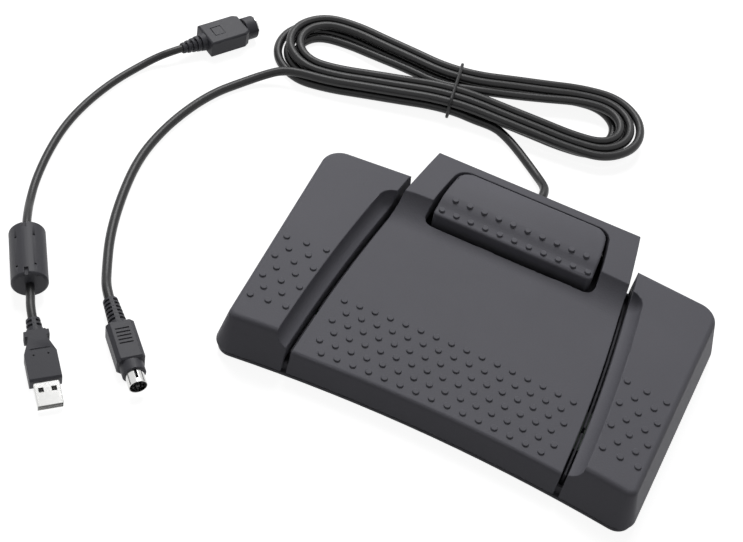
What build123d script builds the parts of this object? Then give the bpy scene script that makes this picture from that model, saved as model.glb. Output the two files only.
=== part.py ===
# A foot switch with four tipping pedals, its wound signal lead and a separate adapter lead.
# Lengths are in millimetres. +Z is up and the origin is on the floor under the middle of the unit.
# The foot comes from -Y, the leads leave towards +Y, and every pedal tips about a pin line along X.
import math
import os

from build123d import *

os.makedirs("parts", exist_ok=True)

# Sizes of the unit as a whole
back_y = 82.5
front_mid_y = -76.2
front_radius = 796.0
skirt_z = 4.8
shell_top_z = 27.0
shell_wall = 2.2
draft_angle = 13.0
edge_radius = 3.0
pedal_gap = 2.8
gap_wall_z = 10.0
overrun = 5.0

# Sizes of the centre pedal
centre_half = 68.5
side_radius = 969.0
side_mid_y = -72.0
low_field_z = 17.8
low_edge_radius = 2.5
step_front_y = 26.0
step_back_y = 44.5
window_back_y = 56.6
centre_corner = 2.0

# Sizes of the well in the centre pedal
well_front_y = 33.0
well_back_y = 72.0
well_front_half = 47.0
well_mid_half = 45.3
well_back_half = 42.0
well_front_corner = 4.0
well_back_corner = 8.0
well_wall = 2.0
well_skirt_z = 14.5

# Sizes of the left and right pedals
wing_inner_x = 50.0
wing_front_x = 107.1
wing_back_x = 113.3
wing_back_outer_y = 54.4
wing_back_inner_y = 60.1
wing_front_corner = 9.0
wing_back_corner = 15.5
scoop_radius = 8.5
scoop_offset = 0.3
scoop_back_y = 30.7
scoop_span_angle = 14.0

# Sizes of the upper pedal
upper_top_z = 28.0
upper_front_z = 25.0
upper_skirt_z = 15.0
upper_back_skirt_z = 19.0
upper_front_y = 36.5
upper_back_y = 71.0
upper_front_half = 43.5
upper_mid_half = 42.8
upper_back_half = 40.5
upper_front_corner = 2.5
upper_back_corner = 8.0
upper_edge = 0.8
edge_margin = 0.75
crossing_share = 0.5
upper_wall = 2.0
ogee_front_y = 37.5
ogee_back_y = 51.5
upper_back_cut_y = 66.0

# Sizes of the tread studs
stud_radius = 1.75
stud_height = 0.8
stud_angle = 18.0
stud_sides = 8
field_pitch = 8.0
field_row_pitch = 7.06
field_first_y = -32.0
field_radius = 729.0
field_row_counts = (16, 15, 16, 15, 16, 15)
wing_stud_x = 89.4
wing_stud_shift = 0.9
wing_stud_pitch = 8.9
wing_stud_spread = 1.4
wing_stud_first_y = -60.7
wing_stud_row_pitch = 7.07
wing_stud_row_counts = (3, 2, 3, 2, 3, 2, 3)
wing_stud_angle = 6.5
upper_stud_pitch = 8.03
upper_stud_back_y = 48.3
upper_stud_front_y = 40.5
upper_stud_back_count = 10
upper_stud_front_count = 11

# Sides of the small rounds that repeat, and of the larger ones in view
round_sides = 12
gland_sides = 16
foot_sides = 20

# Sizes of the base tray
foot_height = 1.0
tray_floor = 2.0
rim_inset = 1.2
labyrinth_gap = 1.5
labyrinth_wall = 1.6
labyrinth_top_z = 7.5
rail_wall = 1.2
rail_top_z = 13.0
rail_back_y = 40.0
rail_break_y = -43.8
rail_break = 3.4
rail_front_y = -72.0
rail_window_z = 8.4

# Sizes of the hinges
pin_radius = 1.5
pin_play = 0.06
ear_wall = 4.0
ear_play = 0.5
cheek_wall = 2.0
pin_end = 0.7
low_hinge_z = 9.0
low_hinge_radius = 3.5
low_ear_base = 10.0
centre_hinge_x = 47.0
centre_hinge_y = 72.0
wing_hinge_inner_x = 76.0
wing_hinge_outer_x = 100.0
wing_hinge_y = 44.0
upper_hinge_x = 30.0
upper_hinge_y = 65.8
upper_hinge_z = 21.5
upper_hinge_radius = 2.6
upper_ear_base = 9.0

# Sizes of the return springs and their seats
spring_radius = 4.0
spring_wire = 0.8
spring_play = 0.2
seat_height = 1.2
seat_radius = 5.0
seat_pin_radius = 2.6
seat_pin_height = 4.0
boss_radius = 5.0
centre_spring_x = 40.0
centre_spring_y = -62.0
centre_spring_top_z = 13.4
wing_spring_x = 86.0
wing_spring_y = -64.0
wing_spring_top_z = 20.0
upper_spring_x = 20.0
upper_spring_y = 46.0
upper_seat_z = 9.0
upper_spring_top_z = 19.0
stop_x = 34.0
stop_y = 39.0
stop_radius = 2.5
stop_top_z = 11.8

# Sizes of the circuit board and what is on it
board_z = 6.0
board_thickness = 1.6
board_half = 93.0
board_y = -40.0
board_width = 24.0
board_stem_half = 12.0
board_stem_back_y = 60.0
standoff_radius = 3.5
standoff_hole_radius = 1.1
board_screw_radius = 1.3
screw_head_radius = 2.4
screw_head_height = 1.6
board_screw_depth = 4.0
outer_screw_x = 89.0
outer_screw_y = -32.0
inner_screw_x = 30.0
inner_screw_y = -47.0
stem_screw_y = 22.0
switch_side = 12.0
switch_height = 3.5
switch_x = 80.0
upper_switch_y = 44.0
dome_base_radius = 4.2
dome_angle = 22.0
dome_height = 3.8
dome_play = 0.3
plunger_radius = 3.0
connector_width = 9.0
connector_length = 7.0
connector_height = 5.0
chip_x = -30.0
chip_y = -36.0
chip_length = 10.0
chip_width = 6.0
chip_height = 1.8
capacitor_x = 46.0
capacitor_radius = 2.5
capacitor_height = 5.0

# Sizes of the ballast plates and feet
ballast_x = 44.0
ballast_y = 5.0
ballast_width = 30.0
ballast_length = 48.0
ballast_thickness = 3.0
ballast_screw_y = 17.0
ballast_screw_depth = 1.4
foot_radius = 6.0
foot_play = 0.1
foot_recess = 0.8
foot_front_x = 94.0
foot_front_y = -67.0
foot_middle_x = 97.0
foot_middle_y = 40.0
foot_back_x = 42.0
foot_back_y = 68.0

# Sizes of the cable gland in the back wall
gland_z = 8.2
gland_block_half = 7.5
gland_block_front_y = 73.0
gland_block_back_y = 77.8
gland_block_top_z = 13.4
gland_neck_radius = 4.0
gland_flange_radius = 4.9
gland_flange = 1.5
gland_tip_radius = 3.3
gland_length = 16.4
gland_play = 0.3
notch_half = 6.5
notch_top_z = 14.2

# Sizes of the leads
lead_diameter = 5.0
adapter_diameter = 4.4
tie_wire = 1.8
tie_play = 0.25
cord_sides = 6
run_share = 0.45
end_run_share = 0.9
tie_sides = 6

# Sizes of the hank
hank_x = -74.0
hank_y = 153.8
hank_turn_angle = 10.0
hank_fold_radius = 15.0
hank_pitch = 5.75
hank_half = 78.5
hank_entry = 7.8
hank_exit = 8.5
hank_sag = 4.5
hank_loops = 3
hank_start = 20.0
hank_start_drop = 1.4
hank_start_angle = 174.0
hank_skew = 3.0
hank_lean_share = 1.25

# Sizes of the small round plug and its strain relief
din_body_width = 13.6
din_body_height = 12.0
din_body_length = 23.1
din_body_chamfer = 1.9
din_body_edge = 0.8
din_relief_length = 16.8
din_relief_tip_radius = 3.7
din_relief_root_radius = 4.6
din_collar_radius = 5.7
din_collar_length = 5.6
din_barrel_radius = 4.5
din_barrel_wall = 0.4
din_barrel_length = 7.2
din_insert_depth = 2.0
din_pin_radius = 0.45
din_pin_ring = 2.4
din_pin_count = 6
din_pin_start = 30
din_key_drop = 0.6
din_pin_length = 4.4
din_key_width = 1.6
din_slot_width = 1.3
din_slot_length = 5.2
groove_width = 0.7
groove_depth = 0.5
groove_length = 6.6
groove_pitch = 2.15
groove_first = 5.2
groove_count = 5

# Sizes of the small round socket
socket_body_width = 17.5
socket_body_height = 10.6
socket_body_length = 25.4
socket_body_chamfer = 1.6
socket_nose_width = 14.0
socket_nose_length = 3.0
socket_relief_length = 14.4
socket_relief_tip_radius = 3.0
socket_relief_root_radius = 5.2
socket_barrel_radius = 6.5
socket_barrel_length = 6.8
socket_ring_radius = 5.9
socket_ring_wall = 1.3
socket_core_radius = 3.9
socket_base = 1.5
socket_ring_proud = 0.8
socket_face_depth = 0.9
contact_radius = 0.6
socket_label_place = 8.5
socket_label_width = 7.0
socket_label_length = 6.5
socket_label_depth = 0.25

# Sizes of the flat plug
usb_relief_length = 7.3
usb_relief_tip_radius = 3.4
usb_relief_root_radius = 4.0
usb_body_width = 15.0
usb_body_height = 8.2
usb_body_length = 26.8
usb_neck_width = 9.0
usb_ear_width = 11.8
usb_ear_start = 0.6
usb_ear_end = 3.6
usb_shoulder_start = 5.0
usb_shoulder_end = 12.4
usb_edge = 0.9
usb_panel_start = 10.5
usb_panel_groove = 0.5
usb_shell_width = 12.0
usb_shell_height = 4.5
usb_shell_cut = 9.0
usb_shell_length = 12.2
usb_shell_wall = 0.35
usb_shell_corner = 0.6
usb_window = 2.4
usb_window_x = 3.0
usb_window_start = 4.2
usb_tongue_width = 10.8
usb_tongue_thickness = 1.9
usb_tongue_length = 11.8

# Sizes of the ferrite in its cover
ferrite_radius = 9.0
ferrite_length = 34.0
ferrite_edge = 1.0
ferrite_cover_wall = 1.4
ferrite_core_radius = 7.4
ferrite_bore_radius = 2.6
ferrite_play = 0.15
ferrite_hole_radius = 0.6
ferrite_hole_depth = 0.9
ferrite_hole_spread = 4.4
ferrite_hole_shares = (0.27, 0.82)
ferrite_roll = 10.0
ferrite_notch_width = 2.0
ferrite_notch_length = 8.0
ferrite_notch_depth = 1.2

# Ribs on the strain reliefs
rib_sides = 12
din_rib_count = 7
socket_rib_count = 5
usb_rib_count = 3
plug_run = 7.0
ferrite_run = 6.0
usb_run = 6.5
rib_share = 0.56
rib_core_share = 0.76

# Places worked out from the sizes above
front_axis_y = front_mid_y - front_radius
side_axis_x = centre_half - side_radius
step_run = step_back_y - step_front_y
step_rise = shell_top_z - low_field_z
step_radius = (step_run**2 + step_rise**2) / (2 * step_rise)
draft_run = math.tan(math.radians(draft_angle))
draft_wall = 1 / math.cos(math.radians(draft_angle))
tray_z = foot_height + tray_floor
gap_radius = side_radius + pedal_gap
board_top_z = board_z + board_thickness
switch_top_z = board_top_z + switch_height
dome_top_z = switch_top_z + dome_height
plunger_z = dome_top_z + dome_play
mirrored = (1, -1)


def front_point(x):
    """The point of the front edge, at the skirt, that lies at this x."""
    return (x, front_axis_y + math.sqrt(front_radius**2 - x**2))


def side_x(y):
    """Half the centre pedal's width at this y."""
    return side_axis_x + math.sqrt(side_radius**2 - (y - side_mid_y) ** 2)


# Plans of the pedals at the skirt
with BuildSketch() as wing_plan:
    with BuildLine():
        ThreePointArc(
            front_point(wing_inner_x),
            front_point((wing_inner_x + wing_front_x) / 2),
            front_point(wing_front_x),
        )
        Polyline(
            front_point(wing_front_x),
            (wing_back_x, wing_back_outer_y),
            (wing_inner_x, wing_back_inner_y),
            front_point(wing_inner_x),
        )
    make_face()
    fillet(vertices().sort_by(Axis.Y)[0], wing_front_corner)
    fillet(vertices().sort_by(Axis.X)[-1], wing_back_corner)

centre_front_y = front_point(centre_half)[1] - overrun
with BuildSketch() as centre_plan:
    with BuildLine():
        Line((-side_x(centre_front_y), centre_front_y), (side_x(centre_front_y), centre_front_y))
        ThreePointArc(
            (side_x(centre_front_y), centre_front_y),
            (side_x(0), 0),
            (side_x(back_y), back_y),
        )
        Line((side_x(back_y), back_y), (-side_x(back_y), back_y))
        ThreePointArc(
            (-side_x(back_y), back_y),
            (-side_x(0), 0),
            (-side_x(centre_front_y), centre_front_y),
        )
    make_face()
    fillet(vertices().group_by(Axis.Y)[-1], centre_corner)

with BuildSketch() as well_plan:
    well_mid_y = (well_front_y + well_back_y) / 2
    with BuildLine():
        Line((-well_front_half, well_front_y), (well_front_half, well_front_y))
        ThreePointArc(
            (well_front_half, well_front_y), (well_mid_half, well_mid_y), (well_back_half, well_back_y)
        )
        Line((well_back_half, well_back_y), (-well_back_half, well_back_y))
        ThreePointArc(
            (-well_back_half, well_back_y), (-well_mid_half, well_mid_y), (-well_front_half, well_front_y)
        )
    make_face()
    fillet(vertices().group_by(Axis.Y)[0], well_front_corner)
    fillet(vertices().group_by(Axis.Y)[-1], well_back_corner)

with BuildSketch() as upper_plan:
    upper_mid_y = (upper_front_y + upper_back_y) / 2
    with BuildLine():
        Line((-upper_front_half, upper_front_y), (upper_front_half, upper_front_y))
        ThreePointArc(
            (upper_front_half, upper_front_y),
            (upper_mid_half, upper_mid_y),
            (upper_back_half, upper_back_y),
        )
        Line((upper_back_half, upper_back_y), (-upper_back_half, upper_back_y))
        ThreePointArc(
            (-upper_back_half, upper_back_y),
            (-upper_mid_half, upper_mid_y),
            (-upper_front_half, upper_front_y),
        )
    make_face()
    fillet(vertices().group_by(Axis.Y)[0], upper_front_corner)
    fillet(vertices().group_by(Axis.Y)[-1], upper_back_corner)

# The whole unit's plan is all the pedals' plans, cut along the front arc
with BuildSketch() as unit_plan:
    add(wing_plan.sketch)
    mirror(wing_plan.sketch, about=Plane.YZ)
    add(centre_plan.sketch)
    with Locations((0, front_axis_y)):
        Circle(front_radius, mode=Mode.SUBTRACT)


def hinge_cheeks(x, y, z, radius, ceiling_z):
    """Two plates hanging from a pedal's roof, one each side of a tray ear, with the pin's bore."""
    reach = ear_wall / 2 + ear_play
    for start in (x - reach - cheek_wall, x + reach):
        with BuildSketch(Plane.YZ.offset(start)) as plate:
            with Locations((y, z)):
                RegularPolygon(radius, round_sides)
            with Locations((y, (z + ceiling_z) / 2)):
                Rectangle(2 * radius, ceiling_z - z)
        extrude(plate.sketch, amount=cheek_wall)
        with BuildSketch(Plane.YZ.offset(start)) as bore:
            with Locations((y, z)):
                RegularPolygon(pin_radius + pin_play, round_sides)
        extrude(bore.sketch, amount=cheek_wall, mode=Mode.SUBTRACT)


def hinge_ear(x, y, z, radius, foot):
    """An upright ear of the tray that holds a pin."""
    with BuildSketch(Plane.YZ.offset(x - ear_wall / 2)) as side:
        with BuildLine():
            Polyline(
                (y + foot / 2, tray_z),
                (y + radius, z),
                (y - radius, z),
                (y - foot / 2, tray_z),
                close=True,
            )
        make_face()
        with Locations((y, z)):
            RegularPolygon(radius, round_sides)
    extrude(side.sketch, amount=ear_wall)
    with BuildSketch(Plane.YZ.offset(x - ear_wall / 2)) as bore:
        with Locations((y, z)):
            RegularPolygon(pin_radius, round_sides)
    extrude(bore.sketch, amount=ear_wall, mode=Mode.SUBTRACT)


def post(x, y, bottom_z, top_z, radius):
    """A round post or boss between two heights."""
    with BuildSketch(Plane.XY.offset(bottom_z)) as foot:
        with Locations((x, y)):
            RegularPolygon(radius, round_sides)
    extrude(foot.sketch, amount=top_z - bottom_z)


# Right pedal: a drafted shell, cut along the gap, with a concave scoop beside it
def wing_form(inset):
    """The right pedal before it is cut at the gap, or with an inset the room inside its walls."""
    with BuildPart() as form:
        with BuildSketch(Plane.XY.offset(skirt_z)):
            add(wing_plan.sketch)
            if inset:
                offset(amount=-inset * draft_wall)
        extrude(amount=shell_top_z - inset - skirt_z, taper=draft_angle)
    return form.part


def gap_disc(radius, bottom_z):
    """All that lies towards the centre of an arc along the gap."""
    with BuildPart() as disc:
        with BuildSketch(Plane.XY.offset(bottom_z)):
            with Locations((side_axis_x, side_mid_y)):
                Circle(radius)
        extrude(amount=shell_top_z + overrun - bottom_z)
    return disc.part


scoop_line = gap_radius - scoop_radius / 4 - scoop_offset
scoop_turn = math.asin((scoop_back_y - side_mid_y) / scoop_line)
scoop_x = side_axis_x + scoop_line * math.cos(scoop_turn)
scoop_plane = Plane(
    origin=(scoop_x, scoop_back_y, shell_top_z),
    x_dir=(math.cos(scoop_turn), math.sin(scoop_turn), 0),
    z_dir=(math.sin(scoop_turn), -math.cos(scoop_turn), 0),
)


def scoop(radius):
    """The hollow along the gap, which ends in a rounded corner at the back."""
    with BuildPart() as hollow:
        with BuildSketch(scoop_plane):
            Circle(radius)
        revolve(axis=Axis((side_axis_x, side_mid_y, 0), (0, 0, -1)), revolution_arc=scoop_span_angle)
        with Locations((scoop_x, scoop_back_y, shell_top_z)):
            Sphere(radius)
    return hollow.part


with BuildPart() as wing_room:
    add(wing_form(shell_wall))
    add(gap_disc(gap_radius + shell_wall, gap_wall_z), mode=Mode.SUBTRACT)
    add(scoop(scoop_radius + shell_wall), mode=Mode.SUBTRACT)

wing_ceiling_z = shell_top_z - shell_wall
wing_stud_places = []
for row, count in enumerate(wing_stud_row_counts):
    pitch = wing_stud_pitch + wing_stud_spread * row / (len(wing_stud_row_counts) - 1)
    middle_x = wing_stud_x if count % 2 else wing_stud_x + wing_stud_shift
    for place in range(count):
        along = (place - (count - 1) / 2) * pitch
        drop = (middle_x + along - wing_stud_x) * math.tan(math.radians(wing_stud_angle))
        wing_stud_places.append((middle_x + along, wing_stud_first_y + row * wing_stud_row_pitch - drop))

with BuildPart() as pedal_right:
    add(wing_form(0))
    fillet(faces().sort_by(Axis.Z)[-1].edges().sort_by(Axis.X)[1:], edge_radius)
    add(gap_disc(gap_radius, 0), mode=Mode.SUBTRACT)
    add(scoop(scoop_radius), mode=Mode.SUBTRACT)
    add(wing_room.part, mode=Mode.SUBTRACT)
    with BuildSketch(Plane.XY.offset(shell_top_z)):
        with Locations(*wing_stud_places):
            RegularPolygon(stud_radius, stud_sides, major_radius=False)
    extrude(amount=stud_height, taper=stud_angle)
    hinge_cheeks(wing_hinge_inner_x, wing_hinge_y, low_hinge_z, low_hinge_radius, wing_ceiling_z)
    hinge_cheeks(wing_hinge_outer_x, wing_hinge_y, low_hinge_z, low_hinge_radius, wing_ceiling_z)
    post(wing_spring_x, wing_spring_y, wing_spring_top_z + spring_play, wing_ceiling_z, boss_radius)
    post(switch_x, board_y, plunger_z, wing_ceiling_z, plunger_radius)
pedal_right.part.label = "pedal_right"
export_step(pedal_right.part, "parts/pedal_right.step")

# Left pedal, the right one's mirror image
with BuildPart() as pedal_left:
    mirror(pedal_right.part, about=Plane.YZ)
pedal_left.part.label = "pedal_left"
export_step(pedal_left.part, "parts/pedal_left.step")

# Centre pedal: a low field, a concave step up to the flat back, and the well
field_turn = math.asin((centre_half + overrun) / front_radius)
field_plane = Plane(
    origin=(0, front_axis_y, 0),
    x_dir=(math.sin(field_turn), math.cos(field_turn), 0),
    z_dir=(math.cos(field_turn), -math.sin(field_turn), 0),
)


def field_form(inset):
    """The section through the centre pedal, turned about the front arc's axis."""
    low_z = low_field_z - inset
    top_z = shell_top_z - inset
    front = front_radius + inset * draft_wall
    step_front = step_front_y - front_axis_y
    step_sweep = math.acos(1 - step_rise / (step_radius + inset))
    step_point = [
        (
            step_front + (step_radius + inset) * math.sin(turn),
            low_z + (step_radius + inset) * (1 - math.cos(turn)),
        )
        for turn in (0, step_sweep / 2, step_sweep)
    ]
    back = back_y + overrun - front_axis_y
    with BuildPart() as form:
        with BuildSketch(field_plane):
            with BuildLine():
                Polyline(
                    step_point[2],
                    (back, top_z),
                    (back, 0),
                    (front - skirt_z * draft_run, 0),
                    (front + (low_z - skirt_z) * draft_run, low_z),
                    step_point[0],
                )
                ThreePointArc(*step_point)
            make_face()
        revolve(axis=Axis((0, front_axis_y, 0), (0, 0, 1)), revolution_arc=2 * math.degrees(field_turn))
    return form.part


def back_wedge(inset):
    """What lies behind the drafted back wall."""
    wall_y = back_y - inset * draft_wall
    with BuildPart() as wedge:
        with BuildSketch(Plane.YZ):
            with BuildLine():
                Polyline(
                    (wall_y + skirt_z * draft_run, 0),
                    (wall_y + overrun + skirt_z * draft_run, 0),
                    (wall_y + overrun, shell_top_z + overrun),
                    (wall_y - (shell_top_z + overrun - skirt_z) * draft_run, shell_top_z + overrun),
                    close=True,
                )
            make_face()
        extrude(amount=centre_half + overrun, both=True)
    return wedge.part


with BuildPart() as centre_room:
    with BuildSketch(Plane.XY.offset(skirt_z)):
        add(centre_plan.sketch)
        offset(amount=-shell_wall)
    extrude(amount=shell_top_z - skirt_z)
    with BuildSketch(Plane.XY.offset(skirt_z)):
        with Locations((0, (centre_front_y + window_back_y) / 2)):
            Rectangle(2 * (centre_half + overrun), window_back_y - centre_front_y)
    extrude(amount=gap_wall_z - skirt_z)
    add(field_form(shell_wall), mode=Mode.INTERSECT)
    add(back_wedge(shell_wall), mode=Mode.SUBTRACT)
    with BuildSketch(Plane.XY.offset(well_skirt_z)):
        add(well_plan.sketch)
        offset(amount=well_wall)
    extrude(amount=shell_top_z - well_skirt_z, mode=Mode.SUBTRACT)

field_stud_places = []
for row, count in enumerate(field_row_counts):
    for place in range(count):
        across = (place - (count - 1) / 2) * field_pitch
        drop = field_radius - math.sqrt(field_radius**2 - across**2)
        field_stud_places.append((across, field_first_y - row * field_row_pitch - drop))

low_ceiling_z = low_field_z - shell_wall
with BuildPart() as pedal_centre:
    with BuildSketch(Plane.XY.offset(skirt_z)):
        add(centre_plan.sketch)
    extrude(amount=shell_top_z - skirt_z)
    add(field_form(0), mode=Mode.INTERSECT)
    add(back_wedge(0), mode=Mode.SUBTRACT)
    fillet(edges().filter_by_position(Axis.Z, low_field_z, low_field_z).sort_by(Axis.Y)[0], low_edge_radius)
    add(centre_room.part, mode=Mode.SUBTRACT)
    with BuildSketch(Plane.XY.offset(well_skirt_z)):
        add(well_plan.sketch)
    extrude(amount=shell_top_z - well_skirt_z, mode=Mode.SUBTRACT)
    with BuildSketch(Plane.XY.offset(low_field_z)):
        with Locations(*field_stud_places):
            RegularPolygon(stud_radius, stud_sides, major_radius=False)
    extrude(amount=stud_height, taper=stud_angle)
    for side in mirrored:
        hinge_cheeks(side * centre_hinge_x, centre_hinge_y, low_hinge_z, low_hinge_radius, wing_ceiling_z)
        post(
            side * centre_spring_x,
            centre_spring_y,
            centre_spring_top_z + spring_play,
            low_ceiling_z,
            boss_radius,
        )
    post(0, board_y, plunger_z, low_ceiling_z, plunger_radius)
    with BuildSketch(Plane.XZ.offset(-back_y - overrun)):
        with Locations((0, (skirt_z + notch_top_z) / 2)):
            Rectangle(2 * notch_half, notch_top_z - skirt_z)
    extrude(amount=back_y + overrun - gland_block_back_y, mode=Mode.SUBTRACT)
pedal_centre.part.label = "pedal_centre"
export_step(pedal_centre.part, "parts/pedal_centre.step")

# Upper pedal: an ogee top over a tall front face, standing in the well
ogee_mid_y = (ogee_front_y + ogee_back_y) / 2
ogee_mid_z = (upper_front_z + upper_top_z) / 2
ogee_run = (ogee_back_y - ogee_front_y) / 2
ogee_rise = (upper_top_z - upper_front_z) / 2
rim_edge_rise = 2 * ogee_rise + edge_margin
ogee_radius = (ogee_run**2 + ogee_rise**2) / (2 * ogee_rise)


def ogee_z(y):
    """Height of the upper pedal's top at this y."""
    if y <= ogee_front_y:
        return upper_front_z
    if y >= ogee_back_y:
        return upper_top_z
    if y < ogee_mid_y:
        return upper_front_z + ogee_radius - math.sqrt(ogee_radius**2 - (y - ogee_front_y) ** 2)
    return upper_top_z - ogee_radius + math.sqrt(ogee_radius**2 - (ogee_back_y - y) ** 2)


upper_ceiling_z = upper_top_z - upper_wall
upper_low_ceiling_z = upper_front_z - upper_wall
ogee_quarter = ogee_run / 2
with BuildPart() as pedal_upper:
    with BuildSketch(Plane.XY.offset(upper_skirt_z)):
        add(upper_plan.sketch)
    extrude(amount=upper_top_z - upper_skirt_z)
    with BuildSketch(Plane.YZ):
        with BuildLine():
            Polyline(
                (ogee_back_y, upper_top_z),
                (upper_back_y + overrun, upper_top_z),
                (upper_back_y + overrun, upper_skirt_z - overrun),
                (upper_front_y - overrun, upper_skirt_z - overrun),
                (upper_front_y - overrun, upper_front_z),
                (ogee_front_y, upper_front_z),
            )
            ThreePointArc(
                (ogee_front_y, upper_front_z),
                (ogee_front_y + ogee_quarter, ogee_z(ogee_front_y + ogee_quarter)),
                (ogee_mid_y, ogee_mid_z),
            )
            ThreePointArc(
                (ogee_mid_y, ogee_mid_z),
                (ogee_back_y - ogee_quarter, ogee_z(ogee_back_y - ogee_quarter)),
                (ogee_back_y, upper_top_z),
            )
        make_face()
    extrude(amount=upper_front_half + overrun, both=True, mode=Mode.INTERSECT)
    rim_edges = [
        edge
        for edge in edges()
        if edge.center().Z > upper_front_z - edge_radius / 2
        and not (
            edge.geom_type == GeomType.LINE
            and abs(edge.tangent_at(0).X) > crossing_share
            and upper_front_y + edge_margin < edge.center().Y < upper_back_y - edge_radius
        )
        and edge.bounding_box().size.Z < rim_edge_rise
    ]
    chamfer(rim_edges, upper_edge)
    with BuildSketch(Plane.XY.offset(upper_skirt_z)):
        add(upper_plan.sketch)
        offset(amount=-upper_wall)
    extrude(amount=upper_low_ceiling_z - upper_skirt_z, mode=Mode.SUBTRACT)
    with BuildSketch(Plane.XY.offset(upper_skirt_z)):
        add(upper_plan.sketch)
        offset(amount=-upper_wall)
        with Locations((0, ogee_back_y)):
            Rectangle(
                2 * upper_front_half,
                upper_back_y,
                align=(Align.CENTER, Align.MIN),
                mode=Mode.INTERSECT,
            )
    extrude(amount=upper_ceiling_z - upper_skirt_z, mode=Mode.SUBTRACT)
    with BuildSketch(Plane.XY.offset(upper_skirt_z)):
        with Locations((0, upper_back_cut_y)):
            Rectangle(2 * upper_front_half, upper_back_y, align=(Align.CENTER, Align.MIN))
    extrude(amount=upper_back_skirt_z - upper_skirt_z, mode=Mode.SUBTRACT)
    for stud_y, stud_count in (
        (upper_stud_back_y, upper_stud_back_count),
        (upper_stud_front_y, upper_stud_front_count),
    ):
        with BuildSketch(Plane.XY.offset(ogee_z(stud_y - stud_radius))):
            with Locations((0, stud_y)):
                with GridLocations(upper_stud_pitch, 0, stud_count, 1):
                    RegularPolygon(stud_radius, stud_sides, major_radius=False)
        extrude(amount=stud_height + ogee_z(stud_y) - ogee_z(stud_y - stud_radius), taper=stud_angle)
    for side in mirrored:
        hinge_cheeks(side * upper_hinge_x, upper_hinge_y, upper_hinge_z, upper_hinge_radius, upper_ceiling_z)
        post(
            side * upper_spring_x,
            upper_spring_y,
            upper_spring_top_z + spring_play,
            upper_low_ceiling_z,
            boss_radius,
        )
    post(0, upper_switch_y, plunger_z, upper_low_ceiling_z, plunger_radius)
pedal_upper.part.label = "pedal_upper"
export_step(pedal_upper.part, "parts/pedal_upper.step")

# Base tray: floor, labyrinth wall under the skirts, rails in the gaps, ears, seats and posts
foot_places = [
    (side * x, y)
    for side in mirrored
    for x, y in ((foot_front_x, foot_front_y), (foot_middle_x, foot_middle_y), (foot_back_x, foot_back_y))
]
board_screw_places = [(0, stem_screw_y)]
board_screw_places += [(side * outer_screw_x, outer_screw_y) for side in mirrored]
board_screw_places += [(side * inner_screw_x, inner_screw_y) for side in mirrored]
ballast_screw_places = [
    (side * ballast_x, ballast_y + end * ballast_screw_y) for side in mirrored for end in mirrored
]
labyrinth_inset = shell_wall * draft_wall + labyrinth_gap

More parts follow.
